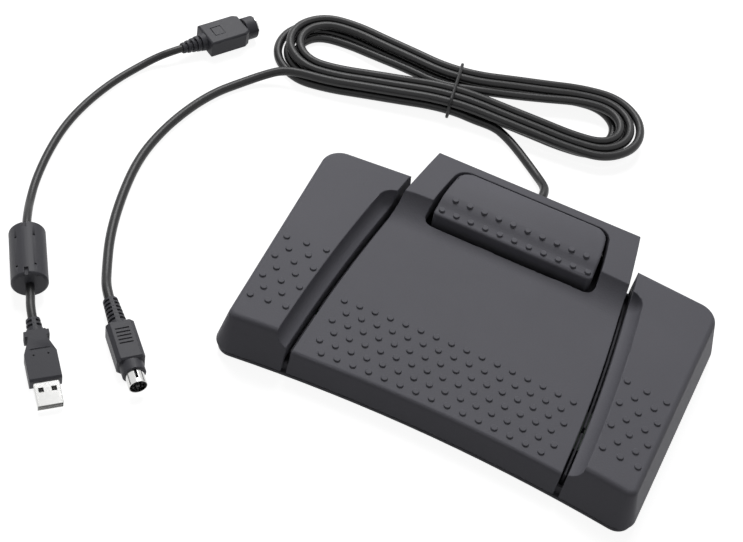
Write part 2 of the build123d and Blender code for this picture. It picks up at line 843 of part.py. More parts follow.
with BuildPart() as base_tray:
    with BuildSketch(Plane.XY.offset(foot_height)):
        add(unit_plan.sketch)
        offset(amount=-rim_inset)
    extrude(amount=tray_floor)
    with BuildSketch(Plane.XY.offset(tray_z)):
        add(unit_plan.sketch)
        offset(amount=-labyrinth_inset)
    extrude(amount=labyrinth_top_z - tray_z)
    with BuildSketch(Plane.XY.offset(tray_z)):
        add(unit_plan.sketch)
        offset(amount=-labyrinth_inset - labyrinth_wall)
    extrude(amount=labyrinth_top_z - tray_z, mode=Mode.SUBTRACT)
    rail_start = side_radius + (pedal_gap - rail_wall) / 2
    rail_break_front_y = rail_break_y - rail_break / 2
    rail_break_back_y = rail_break_y + rail_break / 2
    for rail_near_y, rail_far_y in ((rail_front_y, rail_break_front_y), (rail_break_back_y, rail_back_y)):
        with BuildSketch(Plane.XY.offset(tray_z)) as rail:
            with Locations((side_axis_x, side_mid_y)):
                Circle(rail_start + rail_wall)
                Circle(rail_start, mode=Mode.SUBTRACT)
            with Locations((centre_half, (rail_near_y + rail_far_y) / 2)):
                Rectangle(centre_half, rail_far_y - rail_near_y, mode=Mode.INTERSECT)
            mirror(about=Plane.YZ)
        extrude(amount=rail_top_z - tray_z)
    with BuildSketch(Plane.XY.offset(tray_z)):
        for side in mirrored:
            with Locations((side * centre_half, board_y)):
                Rectangle(4 * pedal_gap, board_width + pedal_gap)
    extrude(amount=rail_window_z - tray_z, mode=Mode.SUBTRACT)
    for side in mirrored:
        hinge_ear(side * centre_hinge_x, centre_hinge_y, low_hinge_z, low_hinge_radius, low_ear_base)
        hinge_ear(side * wing_hinge_inner_x, wing_hinge_y, low_hinge_z, low_hinge_radius, low_ear_base)
        hinge_ear(side * wing_hinge_outer_x, wing_hinge_y, low_hinge_z, low_hinge_radius, low_ear_base)
        hinge_ear(side * upper_hinge_x, upper_hinge_y, upper_hinge_z, upper_hinge_radius, upper_ear_base)
        for seat_x, seat_y, seat_z in (
            (centre_spring_x, centre_spring_y, tray_z + seat_height),
            (wing_spring_x, wing_spring_y, tray_z + seat_height),
            (upper_spring_x, upper_spring_y, upper_seat_z),
        ):
            post(side * seat_x, seat_y, tray_z, seat_z, seat_radius)
            post(side * seat_x, seat_y, seat_z, seat_z + seat_pin_height, seat_pin_radius)
        post(side * stop_x, stop_y, tray_z, stop_top_z, stop_radius)
    for standoff_x, standoff_y in board_screw_places:
        post(standoff_x, standoff_y, tray_z, board_z, standoff_radius)
    with BuildSketch(Plane.XY.offset(tray_z)):
        with Locations((0, (gland_block_front_y + gland_block_back_y) / 2)):
            Rectangle(2 * gland_block_half, gland_block_back_y - gland_block_front_y)
    extrude(amount=gland_block_top_z - tray_z)
    with BuildSketch(Plane.XY.offset(tray_z)):
        with Locations((0, gland_block_back_y)):
            Rectangle(2 * (gland_flange_radius + gland_play), overrun, align=(Align.CENTER, Align.MIN))
    extrude(amount=labyrinth_top_z - tray_z, mode=Mode.SUBTRACT)
    with BuildSketch(Plane.XZ.offset(-back_y)):
        with Locations((0, gland_z)):
            RegularPolygon(gland_neck_radius, gland_sides)
    extrude(amount=back_y - gland_block_front_y + overrun, mode=Mode.SUBTRACT)
    with BuildSketch(Plane.XY.offset(board_z)):
        with Locations(*board_screw_places):
            RegularPolygon(board_screw_radius, round_sides)
    extrude(amount=-board_screw_depth, mode=Mode.SUBTRACT)
    with BuildSketch(Plane.XY.offset(tray_z)):
        with Locations(*ballast_screw_places):
            RegularPolygon(board_screw_radius, round_sides)
    extrude(amount=-ballast_screw_depth, mode=Mode.SUBTRACT)
    with BuildSketch(Plane.XY.offset(foot_height)):
        with Locations(*foot_places):
            RegularPolygon(foot_radius + foot_play, foot_sides)
    extrude(amount=foot_recess, mode=Mode.SUBTRACT)
base_tray.part.label = "base_tray"
export_step(base_tray.part, "parts/base_tray.step")

# Rubber feet
with BuildPart() as rubber_feet:
    with BuildSketch():
        with Locations(*foot_places):
            RegularPolygon(foot_radius, foot_sides)
    extrude(amount=foot_height + foot_recess)
rubber_feet.part.label = "rubber_feet"
export_step(rubber_feet.part, "parts/rubber_feet.step")

# Hinge pins, pressed into the ears and running in the cheeks
pin_reach = ear_wall / 2 + ear_play + cheek_wall + pin_end
with BuildPart() as hinge_pins:
    for pin_x, pin_y, pin_z in (
        (centre_hinge_x, centre_hinge_y, low_hinge_z),
        (wing_hinge_inner_x, wing_hinge_y, low_hinge_z),
        (wing_hinge_outer_x, wing_hinge_y, low_hinge_z),
        (upper_hinge_x, upper_hinge_y, upper_hinge_z),
    ):
        for side in mirrored:
            with BuildSketch(Plane.YZ.offset(side * pin_x - pin_reach)):
                with Locations((pin_y, pin_z)):
                    RegularPolygon(pin_radius, round_sides)
            extrude(amount=2 * pin_reach)
hinge_pins.part.label = "hinge_pins"
export_step(hinge_pins.part, "parts/hinge_pins.step")

# Return springs, as sleeves of the coil's size
spring_sets = {
    "spring_centre": ((1, -1), centre_spring_x, centre_spring_y, tray_z + seat_height, centre_spring_top_z),
    "spring_right": ((1,), wing_spring_x, wing_spring_y, tray_z + seat_height, wing_spring_top_z),
    "spring_left": ((-1,), wing_spring_x, wing_spring_y, tray_z + seat_height, wing_spring_top_z),
    "spring_upper": ((1, -1), upper_spring_x, upper_spring_y, upper_seat_z, upper_spring_top_z),
}
for spring_name, (sides, spring_x, spring_y, spring_z, spring_top) in spring_sets.items():
    with BuildPart() as spring:
        with BuildSketch(Plane.XY.offset(spring_z)):
            with Locations(*[(side * spring_x, spring_y) for side in sides]):
                RegularPolygon(spring_radius, round_sides)
                RegularPolygon(spring_radius - spring_wire, round_sides, mode=Mode.SUBTRACT)
        extrude(amount=spring_top - spring_z)
    spring.part.label = spring_name
    export_step(spring.part, f"parts/{spring_name}.step")

# Circuit board, a cross strip under three pedals with a stem to the upper one
with BuildPart() as circuit_board:
    with BuildSketch(Plane.XY.offset(board_z)):
        with Locations((0, board_y)):
            Rectangle(2 * board_half, board_width)
        with Locations((0, board_y)):
            Rectangle(2 * board_stem_half, board_stem_back_y - board_y, align=(Align.CENTER, Align.MIN))
        with Locations(*board_screw_places):
            RegularPolygon(board_screw_radius, round_sides, mode=Mode.SUBTRACT)
    extrude(amount=board_thickness)
circuit_board.part.label = "circuit_board"
export_step(circuit_board.part, "parts/circuit_board.step")

# Screws of the board and of the ballast plates
with BuildPart() as board_screws:
    with BuildSketch(Plane.XY.offset(board_top_z)):
        with Locations(*board_screw_places):
            RegularPolygon(screw_head_radius, round_sides)
    extrude(amount=screw_head_height)
    with BuildSketch(Plane.XY.offset(board_top_z)):
        with Locations(*board_screw_places):
            RegularPolygon(standoff_hole_radius, round_sides)
    extrude(amount=-board_thickness - board_screw_depth + board_screw_radius)
board_screws.part.label = "board_screws"
export_step(board_screws.part, "parts/board_screws.step")

ballast_top_z = tray_z + ballast_thickness
with BuildPart() as ballast_screws:
    with BuildSketch(Plane.XY.offset(ballast_top_z)):
        with Locations(*ballast_screw_places):
            RegularPolygon(screw_head_radius, round_sides)
    extrude(amount=screw_head_height)
    with BuildSketch(Plane.XY.offset(ballast_top_z)):
        with Locations(*ballast_screw_places):
            RegularPolygon(standoff_hole_radius, round_sides)
    extrude(amount=-ballast_thickness - ballast_screw_depth)
ballast_screws.part.label = "ballast_screws"
export_step(ballast_screws.part, "parts/ballast_screws.step")

with BuildPart() as ballast_plates:
    with BuildSketch(Plane.XY.offset(tray_z)):
        for side in mirrored:
            with Locations((side * ballast_x, ballast_y)):
                Rectangle(ballast_width, ballast_length)
        with Locations(*ballast_screw_places):
            RegularPolygon(board_screw_radius, round_sides, mode=Mode.SUBTRACT)
    extrude(amount=ballast_thickness)
ballast_plates.part.label = "ballast_plates"
export_step(ballast_plates.part, "parts/ballast_plates.step")

# Switch housings with their rubber domes
switch_places = [(-switch_x, board_y), (0, board_y), (switch_x, board_y), (0, upper_switch_y)]
with BuildPart() as switch_housings:
    with BuildSketch(Plane.XY.offset(board_top_z)):
        with Locations(*switch_places):
            Rectangle(switch_side, switch_side)
    extrude(amount=switch_height)
switch_housings.part.label = "switch_housings"
export_step(switch_housings.part, "parts/switch_housings.step")

for dome_name, dome_place in zip(("dome_left", "dome_centre", "dome_right", "dome_upper"), switch_places):
    with BuildPart() as dome:
        with BuildSketch(Plane.XY.offset(switch_top_z)):
            with Locations(dome_place):
                RegularPolygon(dome_base_radius, round_sides)
        extrude(amount=dome_height, taper=dome_angle)
    dome.part.label = dome_name
    export_step(dome.part, f"parts/{dome_name}.step")

# Connector and parts on the board
with BuildPart() as board_parts:
    with BuildSketch(Plane.XY.offset(board_top_z)):
        with Locations((chip_x, chip_y)):
            Rectangle(chip_length, chip_width)
    extrude(amount=chip_height)
    with BuildSketch(Plane.XY.offset(board_top_z)):
        with Locations((0, board_stem_back_y)):
            Rectangle(connector_width, connector_length, align=(Align.CENTER, Align.MAX))
    extrude(amount=connector_height)
    for side in mirrored:
        post(side * capacitor_x, board_y, board_top_z, board_top_z + capacitor_height, capacitor_radius)
board_parts.part.label = "board_parts"
export_step(board_parts.part, "parts/board_parts.step")

# Cable gland: flange inside, neck through the block, collar and tapered relief outside
gland_flange_y = gland_block_front_y - gland_flange
gland_collar_y = gland_block_back_y + gland_flange
gland_tip_y = gland_block_back_y + gland_length
with BuildPart() as cable_gland:
    for flange_y in (gland_block_front_y, gland_collar_y):
        with BuildSketch(Plane.XZ.offset(-flange_y)):
            with Locations((0, gland_z)):
                RegularPolygon(gland_flange_radius, gland_sides)
        extrude(amount=gland_flange)
    with BuildSketch(Plane.XZ.offset(-gland_collar_y)):
        with Locations((0, gland_z)):
            RegularPolygon(gland_neck_radius, gland_sides)
    extrude(amount=gland_collar_y - gland_block_front_y)
    with BuildSketch(Plane.XZ.offset(-gland_collar_y)) as root:
        with Locations((0, gland_z)):
            RegularPolygon(gland_neck_radius, gland_sides)
    with BuildSketch(Plane.XZ.offset(-gland_tip_y)) as tip:
        with Locations((0, gland_z)):
            RegularPolygon(gland_tip_radius, gland_sides)
    loft([root.sketch, tip.sketch], ruled=True)
cable_gland.part.label = "cable_gland"
export_step(cable_gland.part, "parts/cable_gland.step")


# Leads: each tube runs straight between tangent arcs, with flats of its section up and down
def arc_radii(points, diameter):
    """As large an arc at each corner as its two runs allow."""
    runs = [Vector(end) - Vector(start) for start, end in zip(points, points[1:])]
    free_shares = [end_run_share] + [run_share] * (len(runs) - 2) + [end_run_share]
    free = [run.length * share for run, share in zip(runs, free_shares)]
    radii = []
    for corner in range(len(runs) - 1):
        turn = math.radians(runs[corner].get_angle(runs[corner + 1]))
        radii.append(min(free[corner], free[corner + 1]) / math.tan(turn / 2))
    print("radii in diameters:", [round(radius / diameter, 1) for radius in radii])
    return radii


def lead_section(start, heading, diameter, sides):
    """A many-sided section, square to the lead's heading, with a flat at the bottom."""
    level = Vector(heading.Y, -heading.X, 0).normalized()
    with BuildSketch(Plane(origin=start, x_dir=level, z_dir=heading)) as section:
        RegularPolygon(diameter / 2, sides, major_radius=False, rotation=180 / sides)
    return section.sketch


def lead_tube(points, diameter):
    """A stretch of lead along a route of points."""
    with BuildPart() as tube:
        with BuildLine() as route:
            FilletPolyline(*points, radius=arc_radii(points, diameter))
        heading = (Vector(points[1]) - Vector(points[0])).normalized()
        sweep(lead_section(Vector(points[0]), heading, diameter, cord_sides), path=route.wire())
    print("length", round(route.wire().length, 1), "volume", round(tube.part.volume, 1))
    return tube.part


# Inner end of the lead, from the gland to the connector on the board
with BuildPart() as inner_lead:
    with BuildSketch(Plane.XZ.offset(-board_stem_back_y)):
        with Locations((0, gland_z)):
            RegularPolygon(lead_diameter / 2, cord_sides, major_radius=False, rotation=180 / cord_sides)
    extrude(amount=board_stem_back_y - gland_flange_y)
inner_lead.part.label = "inner_lead"
export_step(inner_lead.part, "parts/inner_lead.step")

# Hank: one tube that spirals in on the lower layer, climbs along a run, and spirals out above
cord_z = lead_diameter / 2
upper_cord_z = cord_z + hank_pitch
waist_lift = tie_wire + 2 * tie_play
hank_radii = [hank_fold_radius + hank_pitch * (hank_loops - 1 - loop) for loop in range(hank_loops)]
hank_waists = [hank_pitch * (hank_loops - loop - 0.5) for loop in range(hank_loops)]
hank_along = Vector(1, 0, 0).rotate(Axis.Z, hank_turn_angle)
hank_across = Vector(0, 1, 0).rotate(Axis.Z, hank_turn_angle)
hank_middle = Vector(hank_x, hank_y, 0)


def hank_node(along, across, height, turn_angle, slope=0):
    """A point of the hank and the lead's heading there, from places in the hank's own frame."""
    point = hank_middle + hank_along * along + hank_across * across + Vector(0, 0, height)
    heading = Vector(math.cos(math.radians(turn_angle)), math.sin(math.radians(turn_angle)), 0)
    heading = heading.rotate(Axis.Z, hank_turn_angle) + Vector(0, 0, slope)
    return point, heading.normalized()


def left_fold(radius_in, radius_out, height, skew):
    """The half turn at the left end, from the near run to the far run."""
    radius = (radius_in + radius_out) / 2
    return [
        hank_node(-hank_half + skew, -radius_in, height, 180),
        hank_node(-hank_half + skew - radius, (radius_out - radius_in) / 2, height, 90),
        hank_node(-hank_half + skew, radius_out, height, 0),
    ]


def right_fold(radius_in, radius_out, height, skew):
    """The half turn at the right end, from the far run to the near run."""
    radius = (radius_in + radius_out) / 2
    return [
        hank_node(hank_half + skew, radius_in, height, 0),
        hank_node(hank_half + skew + radius, (radius_in - radius_out) / 2, height, -90),
        hank_node(hank_half + skew, -radius_out, height, 180),
    ]


def near_waist(loop, height):
    return [hank_node(0, -hank_sag - hank_waists[loop], height + waist_lift, 180)]


def far_waist(loop, height):
    return [hank_node(0, -hank_sag + hank_waists[loop], height + waist_lift, 0)]


last_loop = hank_loops - 1
hank_start_across = -hank_sag - hank_waists[0] - hank_start_drop
hank_nodes = [hank_node(hank_start, hank_start_across, cord_z + waist_lift / 2, hank_start_angle)]
for loop in range(hank_loops):
    hank_nodes += near_waist(loop, cord_z)
    hank_nodes += left_fold(hank_radii[loop], hank_radii[loop], cord_z, 0)
    if loop < last_loop:
        hank_nodes += far_waist(loop, cord_z)
        hank_nodes += right_fold(hank_radii[loop], hank_radii[loop + 1], cord_z, -hank_skew)
climb_slope = 2 * hank_pitch / hank_half
climb_z = (cord_z + upper_cord_z) / 2 + waist_lift
hank_nodes += [hank_node(0, -hank_sag + hank_waists[last_loop], climb_z, 0, climb_slope)]
for loop in range(last_loop, -1, -1):
    hank_nodes += right_fold(hank_radii[loop], hank_radii[loop], upper_cord_z, hank_skew)
    hank_nodes += near_waist(loop, upper_cord_z)
    if loop:
        hank_nodes += left_fold(hank_radii[loop], hank_radii[loop - 1], upper_cord_z, hank_skew)
        hank_nodes += far_waist(loop - 1, upper_cord_z)
hank_nodes += [hank_node(-hank_half, -hank_radii[0], upper_cord_z, 180)]


def with_middles(nodes):
    """The same nodes, with one more half way between the waist and each fold, so the runs lean evenly."""
    spread = [nodes[0]]
    for (start, _), (end, heading) in zip(nodes, nodes[1:]):
        chord = end - start
        if abs(chord.dot(hank_along)) > hank_half / 2:
            ahead = hank_along * chord.dot(hank_along)
            spread.append(((start + end) / 2, (ahead + (chord - ahead) * hank_lean_share).normalized()))
        spread.append((end, heading))
    return spread


hank_nodes = with_middles(hank_nodes)


def arc_to(start, heading, end):
    """The arc, or line, that leaves a point along a heading and ends at another point."""
    if heading.cross(end - start).length < 1e-6 * (end - start).length:
        Line(start, end)
    else:
        TangentArc(start, end, tangent=heading)


def biarc(node, next_node):
    """Two arcs that join two points and headings smoothly."""
    (start, start_heading), (end, end_heading) = node, next_node
    chord = end - start
    bend = 2 * (start_heading.dot(end_heading) - 1)
    lean = -2 * chord.dot(start_heading + end_heading)
    if abs(bend) < 1e-9:
        reach = -chord.dot(chord) / lean
    else:
        root = math.sqrt(lean**2 - 4 * bend * chord.dot(chord))
        roots = ((-lean + root) / (2 * bend), (-lean - root) / (2 * bend))
        reach = min(value for value in roots if value > 0)
    near = start + start_heading * reach
    far = end - end_heading * reach
    joint = (near + far) / 2
    arc_to(start, start_heading, joint)
    arc_to(joint, (far - near).normalized(), end)


with BuildPart() as cord_hank:
    with BuildLine() as hank_route:
        for node, next_node in zip(hank_nodes, hank_nodes[1:]):
            biarc(node, next_node)
    sweep(lead_section(*hank_nodes[0], lead_diameter, cord_sides), path=hank_route.wire())
cord_hank.part.label = "cord_hank"
export_step(cord_hank.part, "parts/cord_hank.step")

hank_wire = hank_route.wire()
sample_count = int(hank_wire.length / hank_pitch * 2)
samples = [hank_wire.position_at(step / sample_count) for step in range(sample_count + 1)]
spare = min(
    (samples[low] - samples[high]).length
    for low in range(sample_count)
    for high in range(low + 5, sample_count + 1)
)
print("hank length", round(hank_wire.length, 1), "volume", round(cord_hank.part.volume, 1))
print("least gap of the hank to itself", round(spare - lead_diameter, 3))
print(
    "least hank radius in diameters",
    round(min(edge.radius for edge in hank_wire.edges().filter_by(GeomType.CIRCLE)) / lead_diameter, 2),
)

# Tie round the hank's waist
tie_width = 2 * hank_waists[0] + lead_diameter + 2 * tie_play + tie_wire
tie_bottom_z = tie_wire / 2
tie_height = upper_cord_z + waist_lift + cord_z + tie_play + tie_wire / 2 - tie_bottom_z
tie_plane = Plane(
    origin=hank_middle - hank_across * hank_sag + Vector(0, 0, tie_bottom_z + tie_height / 2),
    x_dir=hank_across,
    z_dir=hank_along,
)
with BuildPart() as hank_tie:
    with BuildLine(tie_plane) as tie_route:
        FilletPolyline(
            (-tie_width / 2, -tie_height / 2),
            (tie_width / 2, -tie_height / 2),
            (tie_width / 2, tie_height / 2),
            (-tie_width / 2, tie_height / 2),
            radius=cord_z + tie_wire / 2,
            close=True,
        )
    tie_path = tie_route.wire()
    with BuildSketch(Plane(origin=tie_path @ 0, x_dir=hank_along, z_dir=tie_path % 0)):
        RegularPolygon(tie_wire / 2, tie_sides, major_radius=False)
    sweep(path=tie_path)
hank_tie.part.label = "hank_tie"
export_step(hank_tie.part, "parts/hank_tie.step")

# Route of the tail, from the gland down to the floor and round to the hank
tail_points = [
    (0, gland_tip_y, gland_z),
    (0, 98.7, gland_z),
    (-2.2, 106.6, 5.6),
    (-8.4, 114.6, 2.8),
    (-16.8, 121.8, cord_z),
    (-26.6, 129.6, cord_z),
    (-34.8, 134.7, 2.9),
    tuple(hank_nodes[0][0] - hank_nodes[0][1] * hank_entry),
    tuple(hank_nodes[0][0]),
]
cord_tail = lead_tube(tail_points, lead_diameter)
cord_tail.label = "cord_tail"
export_step(cord_tail, "parts/cord_tail.step")

# Route of the long end, from the hank's last run down to the floor and round to the plug
lead_points = [
    tuple(hank_nodes[-1][0]),
    tuple(hank_nodes[-1][0] + hank_nodes[-1][1] * hank_exit),
    (-164.5, 109.6, 7.1),
    (-173.1, 101.9, 4.4),
    (-181.0, 91.9, cord_z),
    (-188.6, 78.5, cord_z),
    (-194.6, 60.2, cord_z),
    (-198.6, 36.5, cord_z),
    (-198.8, 11.0, cord_z),
    (-193.2, -15.8, cord_z),
    (-184.2, -43.8, cord_z),
    (-171.9, -68.2, 3.4),
    (-165.8, -78.5, 6.0),
    (-160.5, -83.9, 6.0),
]
cord_lead = lead_tube(lead_points, lead_diameter)
cord_lead.label = "cord_lead"
export_step(cord_lead, "parts/cord_lead.step")


def lying_plane(point, heading):
    """A plane square to a plug's axis: local X is level, local Y is up and local Z runs out of it."""
    level = Vector(-heading.Y, heading.X, 0).normalized()
    return Plane(origin=point, x_dir=level, z_dir=heading)


def flat_plane(plane, lift=0):
    """A plane through a plug's axis: local X is level and local Y runs along the plug."""
    return Plane(origin=plane.origin + plane.y_dir * lift, x_dir=plane.x_dir, z_dir=-plane.y_dir)


def relief_ribs(plane, length, tip_radius, root_radius, rib_count):
    """A tapered strain relief of ribs on a core, the thin end at the cord."""
    rib_pitch = length / rib_count
    with BuildSketch(plane) as tip:
        RegularPolygon(tip_radius * rib_core_share, rib_sides, major_radius=False)
    with BuildSketch(plane.offset(length)) as root:
        RegularPolygon(root_radius * rib_core_share, rib_sides, major_radius=False)
    loft([tip.sketch, root.sketch], ruled=True)
    for rib in range(rib_count):
        radius = tip_radius + (root_radius - tip_radius) * rib / (rib_count - 1)
        with BuildSketch(plane.offset(rib * rib_pitch)) as ring:
            RegularPolygon(radius, rib_sides, major_radius=False)
        extrude(ring.sketch, amount=rib_pitch * (rib_share if rib < rib_count - 1 else 1))


# Small round plug at the end of the lead
din_start = Vector(*lead_points[-1])
din_heading = (Vector(*lead_points[-1]) - Vector(*lead_points[-2])).normalized()
din_plane = lying_plane(din_start, din_heading)
with BuildPart() as din_plug_relief:
    relief_ribs(din_plane, din_relief_length, din_relief_tip_radius, din_relief_root_radius, din_rib_count)
din_plug_relief.part.label = "din_plug_relief"
export_step(din_plug_relief.part, "parts/din_plug_relief.step")

din_body_plane = din_plane.offset(din_relief_length)
with BuildPart() as din_plug_body:
    with BuildSketch(din_body_plane):
        Rectangle(din_body_width, din_body_height)
        chamfer(vertices(), din_body_chamfer)
    extrude(amount=din_body_length)
    chamfer(faces().filter_by(Axis(din_start, din_heading)).edges(), din_body_edge)
    with BuildSketch(din_body_plane.offset(din_body_length)):
        Circle(din_collar_radius)
    extrude(amount=din_collar_length)
    with BuildSketch(flat_plane(din_body_plane, din_body_height / 2)):
        with Locations((0, groove_first + (groove_count - 1) * groove_pitch / 2)):
            with GridLocations(0, groove_pitch, 1, groove_count):
                Rectangle(groove_length, groove_width)
    extrude(amount=groove_depth, mode=Mode.SUBTRACT)
din_plug_body.part.label = "din_plug_body"
export_step(din_plug_body.part, "parts/din_plug_body.step")

din_barrel_plane = din_body_plane.offset(din_body_length + din_collar_length)
with BuildPart() as din_plug_barrel:
    with BuildSketch(din_barrel_plane):
        Circle(din_barrel_radius)
        Circle(din_barrel_radius - din_barrel_wall, mode=Mode.SUBTRACT)
    extrude(amount=din_barrel_length)
    with BuildSketch(flat_plane(din_barrel_plane, din_barrel_radius)):
        Rectangle(din_slot_width, din_slot_length, align=(Align.CENTER, Align.MIN))
    extrude(amount=2 * din_barrel_wall, mode=Mode.SUBTRACT)
din_plug_barrel.part.label = "din_plug_barrel"
export_step(din_plug_barrel.part, "parts/din_plug_barrel.step")

with BuildPart() as din_plug_insert:
    with BuildSketch(din_barrel_plane):
        Circle(din_barrel_radius - din_barrel_wall)
        with Locations((0, din_barrel_radius - din_barrel_wall)):
            Rectangle(din_key_width, din_key_width, mode=Mode.SUBTRACT)
    extrude(amount=din_insert_depth)
    with BuildSketch(din_barrel_plane.offset(din_insert_depth)):
        with Locations((0, -din_key_drop)):
            Rectangle(din_key_width, din_key_width)
        with PolarLocations(din_pin_ring, din_pin_count, start_angle=din_pin_start):
            RegularPolygon(din_pin_radius, 6)
    extrude(amount=din_pin_length)
din_plug_insert.part.label = "din_plug_insert"
export_step(din_plug_insert.part, "parts/din_plug_insert.step")

# Small round socket at the far end of the adapter lead
socket_start = Vector(-219.9, 95.8, socket_barrel_radius)
socket_heading = Vector(0.533, 0.846, 0).normalized()
socket_plane = lying_plane(socket_start, socket_heading)
with BuildPart() as socket_relief:
    relief_ribs(
        socket_plane,
        socket_relief_length,
        socket_relief_tip_radius,
        socket_relief_root_radius,
        socket_rib_count,
    )
socket_relief.part.label = "socket_relief"
export_step(socket_relief.part, "parts/socket_relief.step")

socket_body_plane = socket_plane.offset(socket_relief_length)
socket_face_plane = socket_body_plane.offset(socket_body_length + socket_barrel_length)
with BuildPart() as socket_body:
    with BuildSketch(flat_plane(socket_body_plane)):
        with BuildLine():
            Polyline(
                (-socket_body_width / 2, 0),
                (socket_body_width / 2, 0),
                (socket_body_width / 2, socket_body_length - socket_nose_length),
                (socket_nose_width / 2, socket_body_length),
                (-socket_nose_width / 2, socket_body_length),
                (-socket_body_width / 2, socket_body_length - socket_nose_length),
                close=True,
            )
        make_face()
    extrude(amount=socket_body_height / 2, both=True)
    chamfer(faces().sort_by(Axis.Z)[-1].edges() + faces().sort_by(Axis.Z)[0].edges(), socket_body_chamfer / 2)
    with BuildSketch(socket_body_plane.offset(socket_body_length)):
        Circle(socket_barrel_radius)
    extrude(amount=socket_barrel_length)
    with BuildSketch(socket_face_plane):
        Circle(socket_ring_radius)
    extrude(amount=-socket_barrel_length + socket_face_depth, mode=Mode.SUBTRACT)
    with BuildSketch(flat_plane(socket_body_plane, socket_body_height / 2)):
        with Locations((0, socket_label_place)):
            Rectangle(socket_label_width, socket_label_length)
            Rectangle(
                socket_label_width - 2 * socket_label_depth,
                socket_label_length - 2 * socket_label_depth,
                mode=Mode.SUBTRACT,
            )
    extrude(amount=socket_label_depth, mode=Mode.SUBTRACT)
socket_body.part.label = "socket_body"
export_step(socket_body.part, "parts/socket_body.step")

socket_cup_length = socket_barrel_length - socket_face_depth
with BuildPart() as socket_ring:
    with BuildSketch(socket_face_plane.offset(socket_ring_proud)):
        Circle(socket_ring_radius)
        Circle(socket_ring_radius - socket_ring_wall, mode=Mode.SUBTRACT)
    extrude(amount=-socket_cup_length - socket_ring_proud)
socket_ring.part.label = "socket_ring"
export_step(socket_ring.part, "parts/socket_ring.step")

with BuildPart() as socket_insert:
    with BuildSketch(socket_face_plane.offset(-socket_cup_length)):
        Circle(socket_ring_radius - socket_ring_wall)
    extrude(amount=socket_base)
    with BuildSketch(socket_face_plane.offset(-socket_cup_length)):
        Circle(socket_core_radius)
    extrude(amount=socket_cup_length - socket_face_depth)
    with BuildSketch(socket_face_plane.offset(-socket_face_depth)):
        with PolarLocations(din_pin_ring, din_pin_count, start_angle=din_pin_start):
            RegularPolygon(contact_radius, 6)
        with Locations((0, -din_key_drop)):
            Rectangle(din_key_width, din_key_width)
    extrude(amount=-din_insert_depth, mode=Mode.SUBTRACT)
socket_insert.part.label = "socket_insert"
export_step(socket_insert.part, "parts/socket_insert.step")

# Ferrite in its round cover, lying along the adapter lead
ferrite_top = Vector(-216.1, -69.1, ferrite_radius)
ferrite_heading = Vector(0.5696, -0.8219, 0).normalized()
ferrite_plane = lying_plane(ferrite_top, ferrite_heading)
mark_plane = Plane(ferrite_plane.location * Location((0, 0, 0), (0, 0, ferrite_roll)))
core_start = ferrite_cover_wall + ferrite_play
core_length = ferrite_length - 2 * core_start
with BuildPart() as ferrite_cover:
    with BuildSketch(ferrite_plane):
        Circle(ferrite_radius)
    extrude(amount=ferrite_length)
    chamfer(faces().filter_by(Axis(ferrite_top, ferrite_heading)).edges(), ferrite_edge)
    with BuildSketch(ferrite_plane.offset(ferrite_cover_wall)):
        Circle(ferrite_core_radius + ferrite_play)
    extrude(amount=ferrite_length - 2 * ferrite_cover_wall, mode=Mode.SUBTRACT)
    with BuildSketch(flat_plane(mark_plane, ferrite_radius)):
        with Locations((0, 0), (0, ferrite_length)):
            Rectangle(ferrite_notch_width, ferrite_notch_length)
    extrude(amount=ferrite_notch_depth, mode=Mode.SUBTRACT)
    hole_drop = ferrite_radius - math.sqrt(ferrite_radius**2 - ferrite_hole_spread**2)
    with BuildSketch(flat_plane(mark_plane, ferrite_radius)):
        for share in ferrite_hole_shares:
            for side in (-1, 1):
                with Locations((side * ferrite_hole_spread, share * ferrite_length)):
                    RegularPolygon(ferrite_hole_radius, rib_sides)
    extrude(amount=hole_drop + ferrite_hole_depth, mode=Mode.SUBTRACT)
ferrite_cover.part.label = "ferrite_cover"
export_step(ferrite_cover.part, "parts/ferrite_cover.step")

with BuildPart() as ferrite_core:
    with BuildSketch(ferrite_plane.offset(core_start)):
        Circle(ferrite_core_radius)
        Circle(ferrite_bore_radius, mode=Mode.SUBTRACT)
    extrude(amount=core_length)
ferrite_core.part.label = "ferrite_core"
export_step(ferrite_core.part, "parts/ferrite_core.step")

# Flat plug, its tip on the floor and its cord end held up by the ferrite
usb_start = Vector(-183.9, -114.8, 9.4)
usb_heading = Vector(0.663, -0.734, -0.148).normalized()
usb_plane = lying_plane(usb_start, usb_heading)
usb_body_plane = usb_plane.offset(usb_relief_length)
with BuildPart() as usb_plug_relief:
    relief_ribs(usb_plane, usb_relief_length, usb_relief_tip_radius, usb_relief_root_radius, usb_rib_count)
usb_plug_relief.part.label = "usb_plug_relief"
export_step(usb_plug_relief.part, "parts/usb_plug_relief.step")

with BuildPart() as usb_plug_body:
    with BuildSketch(flat_plane(usb_body_plane)):
        with BuildLine():
            Polyline(
                (usb_neck_width / 2, 0),
                (usb_neck_width / 2, usb_ear_start),
                (usb_ear_width / 2, usb_ear_start),
                (usb_ear_width / 2, usb_ear_end),
                (usb_neck_width / 2, usb_ear_end),
                (usb_neck_width / 2, usb_shoulder_start),
                (usb_body_width / 2, usb_shoulder_end),
                (usb_body_width / 2, usb_body_length),
                (0, usb_body_length),
                (0, 0),
                close=True,
            )
        make_face()
        mirror(about=Plane.YZ)
    extrude(amount=usb_body_height / 2, both=True)
    far_edges = edges().filter_by(Axis(usb_start, usb_plane.x_dir)).group_by(Axis(usb_start, usb_heading))[-1]
    chamfer(far_edges, usb_edge)
    with BuildSketch(flat_plane(usb_body_plane, usb_body_height / 2)):
        with Locations((0, usb_panel_start)):
            Rectangle(usb_neck_width, usb_panel_groove)
    extrude(amount=usb_panel_groove / 2, mode=Mode.SUBTRACT)
usb_plug_body.part.label = "usb_plug_body"
export_step(usb_plug_body.part, "parts/usb_plug_body.step")

